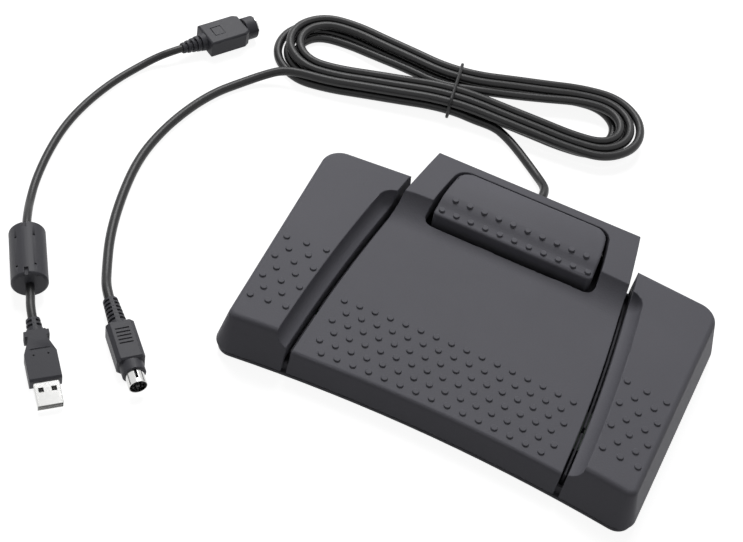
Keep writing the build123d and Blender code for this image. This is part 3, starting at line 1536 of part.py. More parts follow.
usb_shell_plane = usb_body_plane.offset(usb_body_length)
with BuildPart() as usb_plug_shell:
    with BuildSketch(usb_shell_plane):
        RectangleRounded(usb_shell_width, usb_shell_height, usb_shell_corner)
        Rectangle(
            usb_shell_width - 2 * usb_shell_wall,
            usb_shell_height - 2 * usb_shell_wall,
            mode=Mode.SUBTRACT,
        )
    extrude(amount=usb_shell_length)
    with BuildSketch(flat_plane(usb_shell_plane, usb_shell_height)):
        with Locations((-usb_window_x, usb_window_start), (usb_window_x, usb_window_start)):
            Rectangle(usb_window, usb_window)
    extrude(amount=usb_shell_cut, mode=Mode.SUBTRACT)
usb_plug_shell.part.label = "usb_plug_shell"
export_step(usb_plug_shell.part, "parts/usb_plug_shell.step")

with BuildPart() as usb_plug_tongue:
    with BuildSketch(usb_shell_plane):
        with Locations((0, usb_tongue_thickness / 2 + usb_shell_wall - usb_shell_height / 2)):
            Rectangle(usb_tongue_width, usb_tongue_thickness)
    extrude(amount=usb_tongue_length)
usb_plug_tongue.part.label = "usb_plug_tongue"
export_step(usb_plug_tongue.part, "parts/usb_plug_tongue.step")

# Route of the adapter lead, from the socket to the ferrite and on to the flat plug
adapter_z = adapter_diameter / 2
upper_points = [
    tuple(socket_start),
    tuple(socket_start - socket_heading * plug_run),
    (-229.5, 82.9, 4.2),
    (-234.9, 72.5, adapter_z),
    (-240.0, 56.0, adapter_z),
    (-243.6, 34.5, adapter_z),
    (-244.2, 12.5, adapter_z),
    (-241.0, -9.5, adapter_z),
    (-235.4, -31.0, adapter_z),
    (-228.9, -46.8, 3.6),
    (-223.8, -56.4, 7.2),
    tuple(ferrite_top - ferrite_heading * ferrite_run),
    tuple(ferrite_top),
]
adapter_cord_upper = lead_tube(upper_points, adapter_diameter)
adapter_cord_upper.label = "adapter_cord_upper"
export_step(adapter_cord_upper, "parts/adapter_cord_upper.step")

ferrite_bottom = ferrite_top + ferrite_heading * ferrite_length
lower_points = [
    tuple(ferrite_bottom),
    tuple(ferrite_bottom + ferrite_heading * ferrite_run),
    tuple(usb_start - usb_heading * usb_run),
    tuple(usb_start),
]
adapter_cord_lower = lead_tube(lower_points, adapter_diameter)
adapter_cord_lower.label = "adapter_cord_lower"
export_step(adapter_cord_lower, "parts/adapter_cord_lower.step")
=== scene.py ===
import math

import bmesh
import bpy
from mathutils import Matrix, Vector


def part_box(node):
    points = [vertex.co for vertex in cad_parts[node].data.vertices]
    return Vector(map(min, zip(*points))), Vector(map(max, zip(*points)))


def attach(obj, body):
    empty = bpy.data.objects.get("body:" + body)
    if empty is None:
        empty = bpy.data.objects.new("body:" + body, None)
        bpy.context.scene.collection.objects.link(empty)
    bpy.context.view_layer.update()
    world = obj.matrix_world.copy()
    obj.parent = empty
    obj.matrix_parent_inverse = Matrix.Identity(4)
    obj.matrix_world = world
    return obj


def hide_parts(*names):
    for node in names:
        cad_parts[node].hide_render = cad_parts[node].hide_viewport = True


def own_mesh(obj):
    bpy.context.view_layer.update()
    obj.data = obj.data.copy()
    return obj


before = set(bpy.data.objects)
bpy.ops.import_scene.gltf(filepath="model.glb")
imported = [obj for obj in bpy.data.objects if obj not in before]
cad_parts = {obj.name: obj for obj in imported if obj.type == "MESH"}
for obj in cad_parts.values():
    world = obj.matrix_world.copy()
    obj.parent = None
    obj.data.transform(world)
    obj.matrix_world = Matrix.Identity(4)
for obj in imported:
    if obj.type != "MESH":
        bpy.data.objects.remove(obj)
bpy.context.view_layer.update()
mm = 0.001


# The studio is a white sweep under soft light, seen from the front and above with the camera rolled.
# Its floor and air are white to the camera and to gloss, and lend the object only plain daylight.
class Value:
    """A node's output that Python sums can use, in a finish or in a shaper."""

    def __init__(self, tree, socket):
        self.tree = tree
        self.socket = socket

    def beside(self, name):
        """Another output of the same node."""
        return Value(self.tree, self.socket.node.outputs[name])

    def sum(self, operation, *values):
        return self.tree.node("ShaderNodeMath", {"operation": operation}, dict(enumerate(values)))

    def __add__(self, other):
        return self.sum("ADD", self, other)

    def __sub__(self, other):
        return self.sum("SUBTRACT", self, other)

    def __rsub__(self, other):
        return self.sum("SUBTRACT", other, self)

    def __mul__(self, other):
        return self.sum("MULTIPLY", self, other)

    def __gt__(self, other):
        return self.sum("GREATER_THAN", self, other)

    def __lt__(self, other):
        return self.sum("LESS_THAN", self, other)

    __radd__ = __add__
    __rmul__ = __mul__


class Tree:
    """A node tree, with the one way in which its nodes are made."""

    def __init__(self, tree):
        self.tree = tree
        self.tree.nodes.clear()

    def node(self, kind, settings=None, sockets=None, output=0):
        """A node of this kind, whose settings are set before its sockets."""
        node = self.tree.nodes.new(kind)
        for name, setting in (settings or {}).items():
            setattr(node, name, setting)
        for name, value in (sockets or {}).items():
            if isinstance(value, Value):
                self.tree.links.new(value.socket, node.inputs[name])
            else:
                node.inputs[name].default_value = value
        return Value(self, node.outputs[output]) if node.outputs else node


class Finish(Tree):
    """A material made of nodes, whose patterns lie on Object coordinates."""

    def __init__(self, name):
        self.material = bpy.data.materials.new(name)
        self.material.use_nodes = True
        super().__init__(self.material.node_tree)

    def coordinates(self):
        return self.node("ShaderNodeTexCoord", output="Object")

    def noise(self, grain, detail=2.0):
        """Noise with grains of this many metres."""
        sockets = {"Vector": self.coordinates(), "Scale": 1 / grain, "Detail": detail}
        return self.node("ShaderNodeTexNoise", {}, sockets)

    def bump(self, height, depth):
        return self.node("ShaderNodeBump", {}, {"Height": height, "Distance": depth, "Strength": 1.0})

    def blend(self, share, low, high):
        """A colour between two, by a share."""
        sockets = {0: share, 6: (*low, 1), 7: (*high, 1)}
        return self.node("ShaderNodeMix", {"data_type": "RGBA"}, sockets, output=2)

    def surface(self, **sockets):
        """The finished shader, with its sockets named in words."""
        named = {name.replace("_", " "): value for name, value in sockets.items()}
        shader = self.node("ShaderNodeBsdfPrincipled", {}, named)
        self.node("ShaderNodeOutputMaterial", {}, {"Surface": shader})
        return self.material


def white_share(tree):
    """One for the rays that show the white studio itself: the camera's, and those of gloss and glass."""
    camera, gloss, glass = (
        tree.node("ShaderNodeLightPath", output=ray)
        for ray in ("Is Camera Ray", "Is Glossy Ray", "Is Transmission Ray")
    )
    return camera.sum("MAXIMUM", camera.sum("MAXIMUM", camera, gloss), glass)


def linked(name, data):
    """A new object in the scene."""
    thing = bpy.data.objects.new(name, data)
    bpy.context.scene.collection.objects.link(thing)
    return thing


white = (1, 1, 1, 1)
air_level = 0.1
air_world = bpy.data.worlds.new("studio_air")
air_world.use_nodes = True
bpy.context.scene.world = air_world
air = Tree(air_world.node_tree)
air_strength = white_share(air) * (1 - air_level) + air_level
air_light = air.node("ShaderNodeBackground", {}, {"Color": white, "Strength": air_strength})
air.node("ShaderNodeOutputWorld", {}, {"Surface": air_light})

floor_half = 4.0
floor_grey = 0.5
floor_glow = 0.9
paper = Finish("studio_paper")
paper_colour = (floor_grey, floor_grey, floor_grey, 1)
paper_white = paper.node("ShaderNodeBsdfDiffuse", {}, {"Color": paper_colour})
paper_glow = white_share(paper) * floor_glow
paper_shine = paper.node("ShaderNodeEmission", {}, {"Color": white, "Strength": paper_glow})
paper_both = paper.node("ShaderNodeAddShader", {}, {0: paper_white, 1: paper_shine})
paper.node("ShaderNodeOutputMaterial", {}, {"Surface": paper_both})
floor_shape = bmesh.new()
bmesh.ops.create_grid(floor_shape, x_segments=2, y_segments=2, size=floor_half)
floor_mesh = bpy.data.meshes.new("studio_floor")
floor_shape.to_mesh(floor_mesh)
floor_shape.free()
floor_mesh.materials.append(paper.material)
linked("studio_floor", floor_mesh)

for lamp_name, lamp_place, lamp_size, lamp_power in (
    ("lamp_key", (-0.8, 1.4, 1.9), 1.4, 36.0),
    ("lamp_side", (1.1, 0.3, 1.0), 0.9, 0.1),
):
    lamp = bpy.data.lights.new(lamp_name, "AREA")
    lamp.size = lamp_size
    lamp.energy = lamp_power
    lamp_holder = linked(lamp_name, lamp)
    lamp_holder.location = lamp_place
    lamp_holder.rotation_euler = (-Vector(lamp_place)).to_track_quat("-Z", "Y").to_euler()

camera_place = Vector((0.07006, -0.49778, 0.57756))
camera_aim = Vector((-0.06039, 0.00564, 0))
camera_roll = math.radians(12.70)
camera_data = bpy.data.cameras.new("camera")
camera_data.lens = 73.70
camera_data.sensor_width = 36.0
camera = linked("camera", camera_data)
camera_turn = (camera_aim - camera_place).to_track_quat("-Z", "Y").to_matrix().to_4x4()
camera.matrix_world = Matrix.Translation(camera_place) @ camera_turn @ Matrix.Rotation(camera_roll, 4, "Z")
bpy.context.scene.camera = camera
bpy.context.scene.view_settings.view_transform = "Standard"


# The tray is one moulding of dark plastic with a raised rim, and ears, seats and standoffs inside.
# Six rubber feet are stuck into recesses under it, and two steel plates screwed in keep it still.
weld = 0.001 * mm
sliver = 0.02 * mm
flat_angle = math.radians(0.02)
sharp_angle = math.radians(32)
cloud_detail = 3.0
plastic_cloud = 40
plastic_cloud_share = 0.6
plastic_tint = 0.14
plastic_sheen = 0.16
metal_cloud = 30
metal_shade = 0.9
metal_sheen = 0.12
scratch_detail = 4.0
tray_edge = 0.3 * mm
foot_edge = 0.4 * mm
tray_colour = (0.125, 0.124, 0.140)
foot_colour = (0.030, 0.030, 0.031)
plate_colour = (0.60, 0.60, 0.61)
screw_colour = (0.55, 0.55, 0.56)


def merged(node):
    """A copy of a CAD piece's shape, with its doubles merged."""
    shape = bmesh.new()
    shape.from_mesh(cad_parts[node].data)
    bmesh.ops.remove_doubles(shape, verts=shape.verts, dist=weld)
    return shape


def evaluated(piece):
    """What a piece's modifiers make, as its own plain mesh."""
    made = bpy.data.meshes.new_from_object(piece.evaluated_get(bpy.context.evaluated_depsgraph_get()))
    piece.modifiers.clear()
    piece.data = made
    return piece


def smoothed(mesh):
    mesh.shade_smooth()
    mesh.set_sharp_from_angle(angle=sharp_angle)


def eased(name, shape, finish, edge, edge_angle=36, segments=2, level=True, shortest=0.5):
    """A piece of this shape, with whole flat faces and its long sharp edges rounded."""
    bmesh.ops.dissolve_degenerate(shape, edges=shape.edges, dist=sliver)
    bmesh.ops.dissolve_limit(shape, angle_limit=flat_angle, verts=shape.verts, edges=shape.edges)
    weights = shape.edges.layers.float.new("bevel_weight_edge")
    for ridge in shape.edges:
        if ridge.is_manifold and ridge.calc_face_angle() > math.radians(edge_angle):
            narrowest = min(face.calc_area() / face.calc_perimeter() for face in ridge.link_faces)
            if ridge.calc_length() > shortest * edge and narrowest > edge / 4:
                ridge[weights] = 1.0
    mesh = bpy.data.meshes.new(name)
    shape.to_mesh(mesh)
    shape.free()
    smoothed(mesh)
    mesh.materials.append(finish)
    piece = linked(name, mesh)
    rounding = piece.modifiers.new("rounding", "BEVEL")
    rounding.width = edge
    rounding.segments = segments
    rounding.limit_method = "WEIGHT"
    rounding.use_clamp_overlap = False
    if level:
        piece.modifiers.new("shading", "WEIGHTED_NORMAL").keep_sharp = True
    return evaluated(piece)


def stands_for(piece, body, slot, *nodes):
    """Where a finished piece rides, and the CAD pieces it stands for, which are hidden; the slot is not
    used.
    """
    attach(piece, body)
    if nodes:
        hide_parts(*nodes)
    return piece


def base_piece(name, node, slot, finish, edge, **rounding):
    """A CAD piece of the base with its edges rounded, in the place of the plain one."""
    return stands_for(eased(name, merged(node), finish, edge, **rounding), "base", slot, node)


def dress(finish, *nodes):
    """CAD pieces that keep their shape and get their finish."""
    for node in nodes:
        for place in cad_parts[node].material_slots:
            place.material = finish


def shade(colour, share):
    return tuple(part * share for part in colour)


def grained(name, colour, grain, depth, roughness, gloss=0.32):
    """Moulded plastic or rubber: an even colour that clouds a little, under a fine eroded grain."""
    finish = Finish(name)
    clouds = finish.noise(plastic_cloud * grain, cloud_detail)
    grains = finish.noise(grain)
    share = clouds * plastic_cloud_share + grains * (1 - plastic_cloud_share)
    return finish.surface(
        Base_Color=finish.blend(share, shade(colour, 1 - plastic_tint), shade(colour, 1 + plastic_tint)),
        Roughness=grains * plastic_sheen + (roughness - plastic_sheen / 2),
        Normal=finish.bump(grains, depth),
        Specular_IOR_Level=gloss,
    )


def plated(name, colour, grain, depth, roughness):
    """Metal with faint wear: its gloss clouds and its face is finely scratched."""
    finish = Finish(name)
    clouds = finish.noise(metal_cloud * grain, cloud_detail)
    scratches = finish.noise(grain, scratch_detail)
    return finish.surface(
        Base_Color=finish.blend(clouds, shade(colour, metal_shade), colour),
        Metallic=1.0,
        Roughness=clouds * metal_sheen + roughness,
        Normal=finish.bump(scratches, depth),
    )


tray_finish = grained(
    "tray_plastic", tray_colour, grain=0.5 * mm, depth=0.03 * mm, roughness=0.56, gloss=0.16
)
foot_finish = grained("foot_rubber", foot_colour, grain=0.8 * mm, depth=0.05 * mm, roughness=0.75)
plate_finish = plated("steel_plate", plate_colour, grain=0.6 * mm, depth=0.01 * mm, roughness=0.32)
screw_finish = plated("screw_steel", screw_colour, grain=0.3 * mm, depth=0.006 * mm, roughness=0.28)
base_piece("tray", "base_tray", "tray_plastic", tray_finish, tray_edge)
base_piece("feet", "rubber_feet", "foot_rubber", foot_finish, foot_edge)
dress(plate_finish, "ballast_plates")
dress(screw_finish, "ballast_screws")


# Steel pins are pressed through the tray's ears, and each pedal tips on them by cheeks under its roof.
# Wound steel springs on seats of the tray hold the pedals up: two under the centre one, two under the
# upper one, and one under each side pedal.
class Shaper(Tree):
    """A geometry tree with named inputs, for what repeats or follows a line."""

    kinds = {float: "NodeSocketFloat", tuple: "NodeSocketVector"}

    def __init__(self, name, **sizes):
        self.group = bpy.data.node_groups.new(name, "GeometryNodeTree")
        super().__init__(self.group)
        sockets = self.group.interface
        sockets.new_socket("Geometry", in_out="OUTPUT", socket_type="NodeSocketGeometry")
        sockets.new_socket("Geometry", in_out="INPUT", socket_type="NodeSocketGeometry")
        sockets.new_socket("Finish", in_out="INPUT", socket_type="NodeSocketMaterial")
        for word, value in sizes.items():
            kind = self.kinds[type(value)]
            sockets.new_socket(word, in_out="INPUT", socket_type=kind).default_value = value

    def given(self, word):
        return self.node("NodeGroupInput", output=word)

    def round(self, sides, radius):
        """A round section for a line."""
        sockets = {"Resolution": sides, "Radius": radius}
        return self.node("GeometryNodeCurvePrimitiveCircle", {"mode": "RADIUS"}, sockets)

    def box(self, width, height):
        """A rectangular line or section."""
        sockets = {"Width": width, "Height": height}
        return self.node("GeometryNodeCurvePrimitiveQuadrilateral", {"mode": "RECTANGLE"}, sockets)

    def finish(self, geometry):
        """The tree's end: everything made real, in the given finish."""
        whole = self.node("GeometryNodeRealizeInstances", {}, {"Geometry": geometry})
        sockets = {"Geometry": whole, "Material": self.given("Finish")}
        dressed = self.node("GeometryNodeSetMaterial", {}, sockets)
        self.node("NodeGroupOutput", {}, {"Geometry": dressed})

    def finish_on_places(self, shape):
        """The tree's end where its shape stands at each place of the object."""
        sockets = {"Points": self.given("Geometry"), "Instance": shape}
        self.finish(self.node("GeometryNodeInstanceOnPoints", {}, sockets))

    def make(self, name, finish, places=((0, 0, 0),), **sizes):
        """The tree's shape as a piece, at these places of the object."""
        mesh = bpy.data.meshes.new(name)
        mesh.from_pydata([Vector(place) for place in places], [], [])
        piece = linked(name, mesh)
        modifier = piece.modifiers.new("shape", "NODES")
        modifier.node_group = self.group
        for item in self.group.interface.items_tree:
            if item.item_type == "SOCKET" and item.in_out == "INPUT":
                if item.name == "Finish":
                    modifier[item.identifier] = finish
                elif item.name in sizes:
                    modifier[item.identifier] = sizes[item.name]
        evaluated(piece)
        smoothed(piece.data)
        return piece


pin_colour = (0.66, 0.66, 0.67)
spring_colour = (0.60, 0.60, 0.61)
spring_radius = 3.6 * mm
spring_wire = 0.4 * mm
spring_height = 10 * mm
spring_turns = 5.5
spring_steps = 18
wire_sides = 6
pin_finish = plated("pin_steel", pin_colour, grain=0.4 * mm, depth=0.005 * mm, roughness=0.25)
spring_finish = plated("spring_steel", spring_colour, grain=0.3 * mm, depth=0.004 * mm, roughness=0.3)
dress(pin_finish, "hinge_pins")

coil = Shaper(
    "wound_spring",
    Radius=spring_radius,
    Wire=spring_wire,
    Height=spring_height,
    Turns=spring_turns,
)
coil_line = coil.node(
    "GeometryNodeCurveSpiral",
    {},
    {
        "Resolution": spring_steps,
        "Rotations": coil.given("Turns"),
        "Start Radius": coil.given("Radius"),
        "End Radius": coil.given("Radius"),
        "Height": coil.given("Height"),
    },
)
coil_section = coil.round(wire_sides, coil.given("Wire"))
coil_tube = coil.node(
    "GeometryNodeCurveToMesh",
    {},
    {"Curve": coil_line, "Profile Curve": coil_section, "Fill Caps": True},
)
coil.finish_on_places(coil_tube)

pedals = ("left", "centre", "right", "upper")


for pedal in pedals:
    spring_node = "spring_" + pedal
    spring_joint = pedal + "_tip"
    spring_low, spring_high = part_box(spring_node)
    middle_y = (spring_low.y + spring_high.y) / 2
    half_width = (spring_high.y - spring_low.y) / 2
    foot_z = spring_low.z + spring_wire
    if spring_high.x - spring_low.x > 4 * half_width:
        spring_xs = (spring_low.x + half_width, spring_high.x - half_width)
    else:
        spring_xs = ((spring_low.x + spring_high.x) / 2,)
    springs = coil.make(
        spring_node + "_coil",
        spring_finish,
        [(x, middle_y, foot_z) for x in spring_xs],
        Height=spring_high.z - spring_low.z - 2 * spring_wire,
    )
    stands_for(springs, "base", "spring_steel", spring_node)
    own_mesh(springs)


# One circuit board is held on the tray's standoffs by five screws, and carries a switch under each pedal.
# A rubber dome on each switch gives under the pedal's plunger and sends it back.
board_green = (0.008, 0.050, 0.022)
track_green = (0.014, 0.080, 0.034)
switch_colour = (0.050, 0.050, 0.051)
part_colour = (0.030, 0.030, 0.031)
dome_colour = (0.35, 0.35, 0.36)
track_pitch = 2.4 * mm
track_depth = 0.03 * mm
board_grain = 3 * mm
board_roughness = 0.3
board_sheen = 0.1
dome_edge = 0.4 * mm
laminate = Finish("board_laminate")
tracks = laminate.node(
    "ShaderNodeTexBrick",
    {"offset": 0.5, "squash": 1.0},
    {
        "Vector": laminate.coordinates(),
        "Scale": 1 / track_pitch,
        "Mortar Size": 0.06,
        "Brick Width": 2.2,
        "Row Height": 0.5,
    },
    output="Fac",
)
laminate.surface(
    Base_Color=laminate.blend(tracks, board_green, track_green),
    Roughness=laminate.noise(board_grain) * board_sheen + board_roughness,
    Normal=laminate.bump(tracks, track_depth),
)
switch_finish = grained("switch_plastic", switch_colour, grain=0.4 * mm, depth=0.01 * mm, roughness=0.45)
part_finish = grained("contact_plastic", part_colour, grain=0.4 * mm, depth=0.01 * mm, roughness=0.4)
dome_finish = grained("dome_rubber", dome_colour, grain=0.6 * mm, depth=0.02 * mm, roughness=0.7)
dress(laminate.material, "circuit_board")
dress(screw_finish, "board_screws")
dress(switch_finish, "switch_housings")
dress(part_finish, "board_parts")
for pedal in pedals:
    dome_node = "dome_" + pedal
    dome_joint = pedal + "_tip"
    dome = base_piece(dome_node + "_skin", dome_node, "dome_rubber", dome_finish, dome_edge, segments=3)
    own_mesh(dome)


# The four pedals are hollow shells of charcoal plastic with a fine spark-eroded grain and round studs.
# Each is moulded in one piece: studs stand on the flat treads, and the side pedals are scooped along
# the gaps.
pedal_colour = (0.158, 0.157, 0.178)
pedal_edge = 0.5 * mm
upper_edge = 0.4 * mm
stud_base = 1.82 * mm
stud_crown = 1.66 * mm
stud_rise = 0.45 * mm
stud_shoulder = 0.2 * mm
stud_cap = 0.13 * mm
stud_sink = 0.6 * mm
shoulder_share = 0.94
cap_share = 0.88
stud_sides = 16
pedal_finish = grained(
    "pedal_plastic", pedal_colour, grain=0.9 * mm, depth=0.07 * mm, roughness=0.56, gloss=0.16
)

tread = Shaper("tread_stud", Base=stud_base, Crown=stud_crown, Rise=stud_rise + stud_sink)
stud = tread.node(
    "GeometryNodeMeshCone",
    {"fill_type": "NGON"},
    {
        "Vertices": stud_sides,
        "Radius Bottom": tread.given("Base"),
        "Radius Top": tread.given("Crown"),
        "Depth": tread.given("Rise"),
    },
)
stud_top = stud.beside("Top")
for step, share in ((stud_shoulder, shoulder_share), (stud_cap, cap_share)):
    stud = tread.node(
        "GeometryNodeExtrudeMesh",
        {"mode": "FACES"},
        {"Mesh": stud, "Selection": stud_top, "Offset Scale": step, "Individual": False},
    )
    stud_top = stud.beside("Top")
    stud = tread.node(
        "GeometryNodeScaleElements",
        {"domain": "FACE"},
        {"Geometry": stud, "Selection": stud_top, "Scale": share},
    )
tread.finish_on_places(stud)

wing_top = 27.0 * mm
field_top = 17.8 * mm
plain_stud_height = 0.8 * mm
level_slack = 0.01 * mm


def without_studs(node_shape, tread_z, reach):
    """The shell with its plain CAD studs taken off and the holes they leave closed."""
    tips = [
        vert
        for vert in node_shape.verts
        if abs(vert.co.z - tread_z - plain_stud_height) < level_slack and reach[0] < vert.co.y < reach[1]
    ]
    bmesh.ops.delete(node_shape, geom=tips, context="VERTS")
    holes = [edge for edge in node_shape.edges if edge.is_boundary]
    bmesh.ops.holes_fill(node_shape, edges=holes, sides=0)
    return node_shape


def row_places(count, pitch):
    """The places of a row's studs, from the row's middle."""
    return [(place - (count - 1) / 2) * pitch for place in range(count)]


def lifted(places, height, side=1):
    return [(side * place.x, place.y, height - stud_sink) for place in places]


wing_counts = (3, 2, 3, 2, 3, 2, 3)
wing_x = 89.4
wing_front_y = -60.7
wing_row_step = 7.07
wing_row_lean = math.tan(math.radians(6.5))
wing_pitch = 8.9
wing_widening = 1.4
wing_shift = 0.9
wing_places = []
for row, count in enumerate(wing_counts):
    row_pitch = wing_pitch + wing_widening * row / (len(wing_counts) - 1)
    row_middle = 0 if count % 2 else wing_shift
    for place in row_places(count, row_pitch):
        across = row_middle + place
        along = wing_front_y + wing_row_step * row - across * wing_row_lean
        wing_places.append(Vector((wing_x + across, along, 0)) * mm)

field_counts = (16, 15, 16, 15, 16, 15)
field_back_y = -32.0
field_row_step = 7.06
field_pitch = 8.0
field_arc = 729.0
field_places = []
for row, count in enumerate(field_counts):
    for across in row_places(count, field_pitch):
        along = field_back_y - row * field_row_step - field_arc + math.sqrt(field_arc**2 - across**2)
        field_places.append(Vector((across, along, 0)) * mm)

wing_reach = (-90 * mm, 0)
field_reach = (-90 * mm, -20 * mm)
for pedal, tread_top, tread_reach, tread_places in (
    ("left", wing_top, wing_reach, lifted(wing_places, wing_top, -1)),
    ("right", wing_top, wing_reach, lifted(wing_places, wing_top)),
    ("centre", field_top, field_reach, lifted(field_places, field_top)),
):
    pedal_node = "pedal_" + pedal
    pedal_shape = without_studs(merged(pedal_node), tread_top, tread_reach)
    shell = eased(pedal_node + "_shell", pedal_shape, pedal_finish, pedal_edge, segments=3)
    stands_for(shell, pedal, "pedal_plastic", pedal_node)
    studs = tread.make(pedal_node + "_studs", pedal_finish, tread_places)
    stands_for(studs, pedal, "pedal_plastic")

upper_pitch = 8.03
upper_rows = ((10, 48.3, 27.70), (11, 40.5, 25.27))
upper_places = []
upper_shape = merged("pedal_upper")
for count, row_y, row_z in upper_rows:
    for across in row_places(count, upper_pitch):
        upper_places.append(Vector((across, row_y, row_z - stud_sink / mm)) * mm)
    row_half = stud_base + pedal_edge
    upper_shape = without_studs(upper_shape, row_z * mm, (row_y * mm - row_half, row_y * mm + row_half))
upper_shell = eased("pedal_upper_shell", upper_shape, pedal_finish, upper_edge, segments=3, level=False)
stands_for(upper_shell, "upper", "pedal_plastic", "pedal_upper")
upper_studs = tread.make("pedal_upper_studs", pedal_finish, upper_places)
stands_for(upper_studs, "upper", "pedal_plastic")


# The signal lead is one black satin lead, held by a moulded rubber gland in the tray's back wall.
# Its length is wound in a hank of six flat turns with a thin plastic tie, and its end runs on to the plug.
lead_colour = (0.013, 0.013, 0.014)
tie_colour = (0.018, 0.018, 0.019)
lead_finish = grained(
    "lead_rubber", lead_colour, grain=1.2 * mm, depth=0.008 * mm, roughness=0.36, gloss=0.38
)
tie_finish = grained("tie_plastic", tie_colour, grain=0.4 * mm, depth=0.01 * mm, roughness=0.4)
lead_diameter = 5.0 * mm
floor_z = lead_diameter / mm / 2
gland_z = 9.0
gland_tip = (0, 94.2, gland_z)
gland_edge = 0.25 * mm
gland_angle = 50
layer_step = 5.75
fold_radius = 15.0
run_half = 78.5
waist_drop = 4.5
waist_lift = 2.3
hank_loops = 3
hank_skew = 3.0
hank_turn = math.radians(10.0)
hank_centre = Vector((-74.0, 153.8, 0))
lean_share = 1.25
hank_along = Vector((math.cos(hank_turn), math.sin(hank_turn), 0))
hank_across = Vector((-math.sin(hank_turn), math.cos(hank_turn), 0))


def hank_node(along, across, height, turn, slope=0):
    """A place of the hank with the lead's heading there, from places in the hank's own frame."""
    place = hank_centre + hank_along * along + hank_across * across + Vector((0, 0, height))
    heading = hank_along * math.cos(math.radians(turn)) + hank_across * math.sin(math.radians(turn))
    return place, (heading + Vector((0, 0, slope))).normalized()


def fold(side, first, second, height, skew):
    """The half turn at an end: the left one from the near run to the far run, the right one back."""
    radius = (first + second) / 2
    end = side * run_half + skew
    return [
        hank_node(end, side * first, height, 90 - 90 * side),
        hank_node(end + side * radius, side * (first - second) / 2, height, -90 * side),
        hank_node(end, -side * second, height, 90 + 90 * side),
    ]


def waist(loop, height, side):
    """Where a turn passes through the tie."""
    across = side * layer_step * (hank_loops - loop - 0.5) - waist_drop
    return [hank_node(0, across, height + waist_lift, 90 - 90 * side)]


hank_radii = [fold_radius + layer_step * (hank_loops - 1 - loop) for loop in range(hank_loops)]
top_z = floor_z + layer_step
start_along = 20.0
start_gap = 1.4
start_across = -waist_drop - layer_step * (hank_loops - 0.5) - start_gap
start_turn = 174.0
hank_places = [hank_node(start_along, start_across, floor_z + waist_lift / 2, start_turn)]
for loop in range(hank_loops):
    hank_places += waist(loop, floor_z, -1)
    hank_places += fold(-1, hank_radii[loop], hank_radii[loop], floor_z, 0)
    if loop < hank_loops - 1:
        hank_places += waist(loop, floor_z, 1)
        hank_places += fold(1, hank_radii[loop], hank_radii[loop + 1], floor_z, -hank_skew)
climb_place = -waist_drop + layer_step / 2
climb_z = (floor_z + top_z) / 2 + waist_lift
hank_places += [hank_node(0, climb_place, climb_z, 0, 2 * layer_step / run_half)]
for loop in range(hank_loops - 1, -1, -1):
    hank_places += fold(1, hank_radii[loop], hank_radii[loop], top_z, hank_skew)
    hank_places += waist(loop, top_z, -1)
    if loop:
        hank_places += fold(-1, hank_radii[loop], hank_radii[loop - 1], top_z, hank_skew)
        hank_places += waist(loop - 1, top_z, 1)
hank_places += [hank_node(-run_half, -hank_radii[0], top_z, 180)]

# A long run gets one more place in its middle, where the lead is a little more aslant than the run.
spread = [hank_places[0]]
for (start, _), (end, heading) in zip(hank_places, hank_places[1:]):
    reach = (end - start).dot(hank_along)
    if abs(reach) > run_half / 2:
        ahead = hank_along * reach
        spread.append(((start + end) / 2, (ahead + (end - start - ahead) * lean_share).normalized()))
    spread.append((end, heading))

# Two arcs that touch join each place to the next, and each has its corner one reach from a place.
hank_line = []
for (start, start_way), (end, end_way) in zip(spread, spread[1:]):
    chord = end - start
    bend = 2 * (start_way.dot(end_way) - 1)
    lean = -2 * chord.dot(start_way + end_way)
    root = math.sqrt(lean**2 - 4 * bend * chord.dot(chord))
    reach = min(way for way in ((-lean + root) / (2 * bend), (-lean - root) / (2 * bend)) if way > 0)
    hank_line += [start + start_way * reach, end - end_way * reach]

tail_reach = 7.8
end_reach = 8.5
tail_line = [
    gland_tip,
    (0, 98.7, gland_z),
    (-2.2, 106.6, 5.6),
    (-8.4, 114.6, 2.8),
    (-16.8, 121.8, floor_z),
    (-26.6, 129.6, floor_z),
    (-34.8, 134.7, 2.9),
    spread[0][0] - spread[0][1] * tail_reach,
]
end_line = [
    spread[-1][0] + spread[-1][1] * end_reach,
    (-164.5, 109.6, 7.1),
    (-173.1, 101.9, 4.4),
    (-181.0, 91.9, floor_z),
    (-188.6, 78.5, floor_z),
    (-194.6, 60.2, floor_z),
    (-198.6, 36.5, floor_z),
    (-198.8, 11.0, floor_z),
    (-193.2, -15.8, floor_z),
    (-184.2, -43.8, floor_z),
    (-171.9, -68.2, 3.4),
    (-165.8, -78.5, 6.0),
    (-160.5, -83.9, 6.0),
]


def lead(name, points, diameter, finish):
    """A lead as one smooth curve along its route, which is given in millimetres."""
    curve = bpy.data.curves.new(name, "CURVE")
    curve.dimensions = "3D"
    curve.bevel_depth = diameter / 2
    curve.bevel_resolution = 4
    curve.use_fill_caps = True
    curve.resolution_u = 8
    curve.materials.append(finish)
    spline = curve.splines.new("NURBS")
    spline.points.add(len(points) - 1)
    for knot, point in zip(spline.points, points):
        knot.co = (*(Vector(point) * mm), 1)
    spline.order_u = 3
    spline.use_endpoint_u = True
    return linked(name, curve)


signal_lead = lead("signal_lead", tail_line + hank_line + end_line, lead_diameter, lead_finish)
stands_for(signal_lead, "base", "lead_rubber", "cord_tail", "cord_hank", "cord_lead")
dress(lead_finish, "inner_lead")
gland = base_piece("gland", "cable_gland", "lead_rubber", lead_finish, gland_edge, edge_angle=gland_angle)

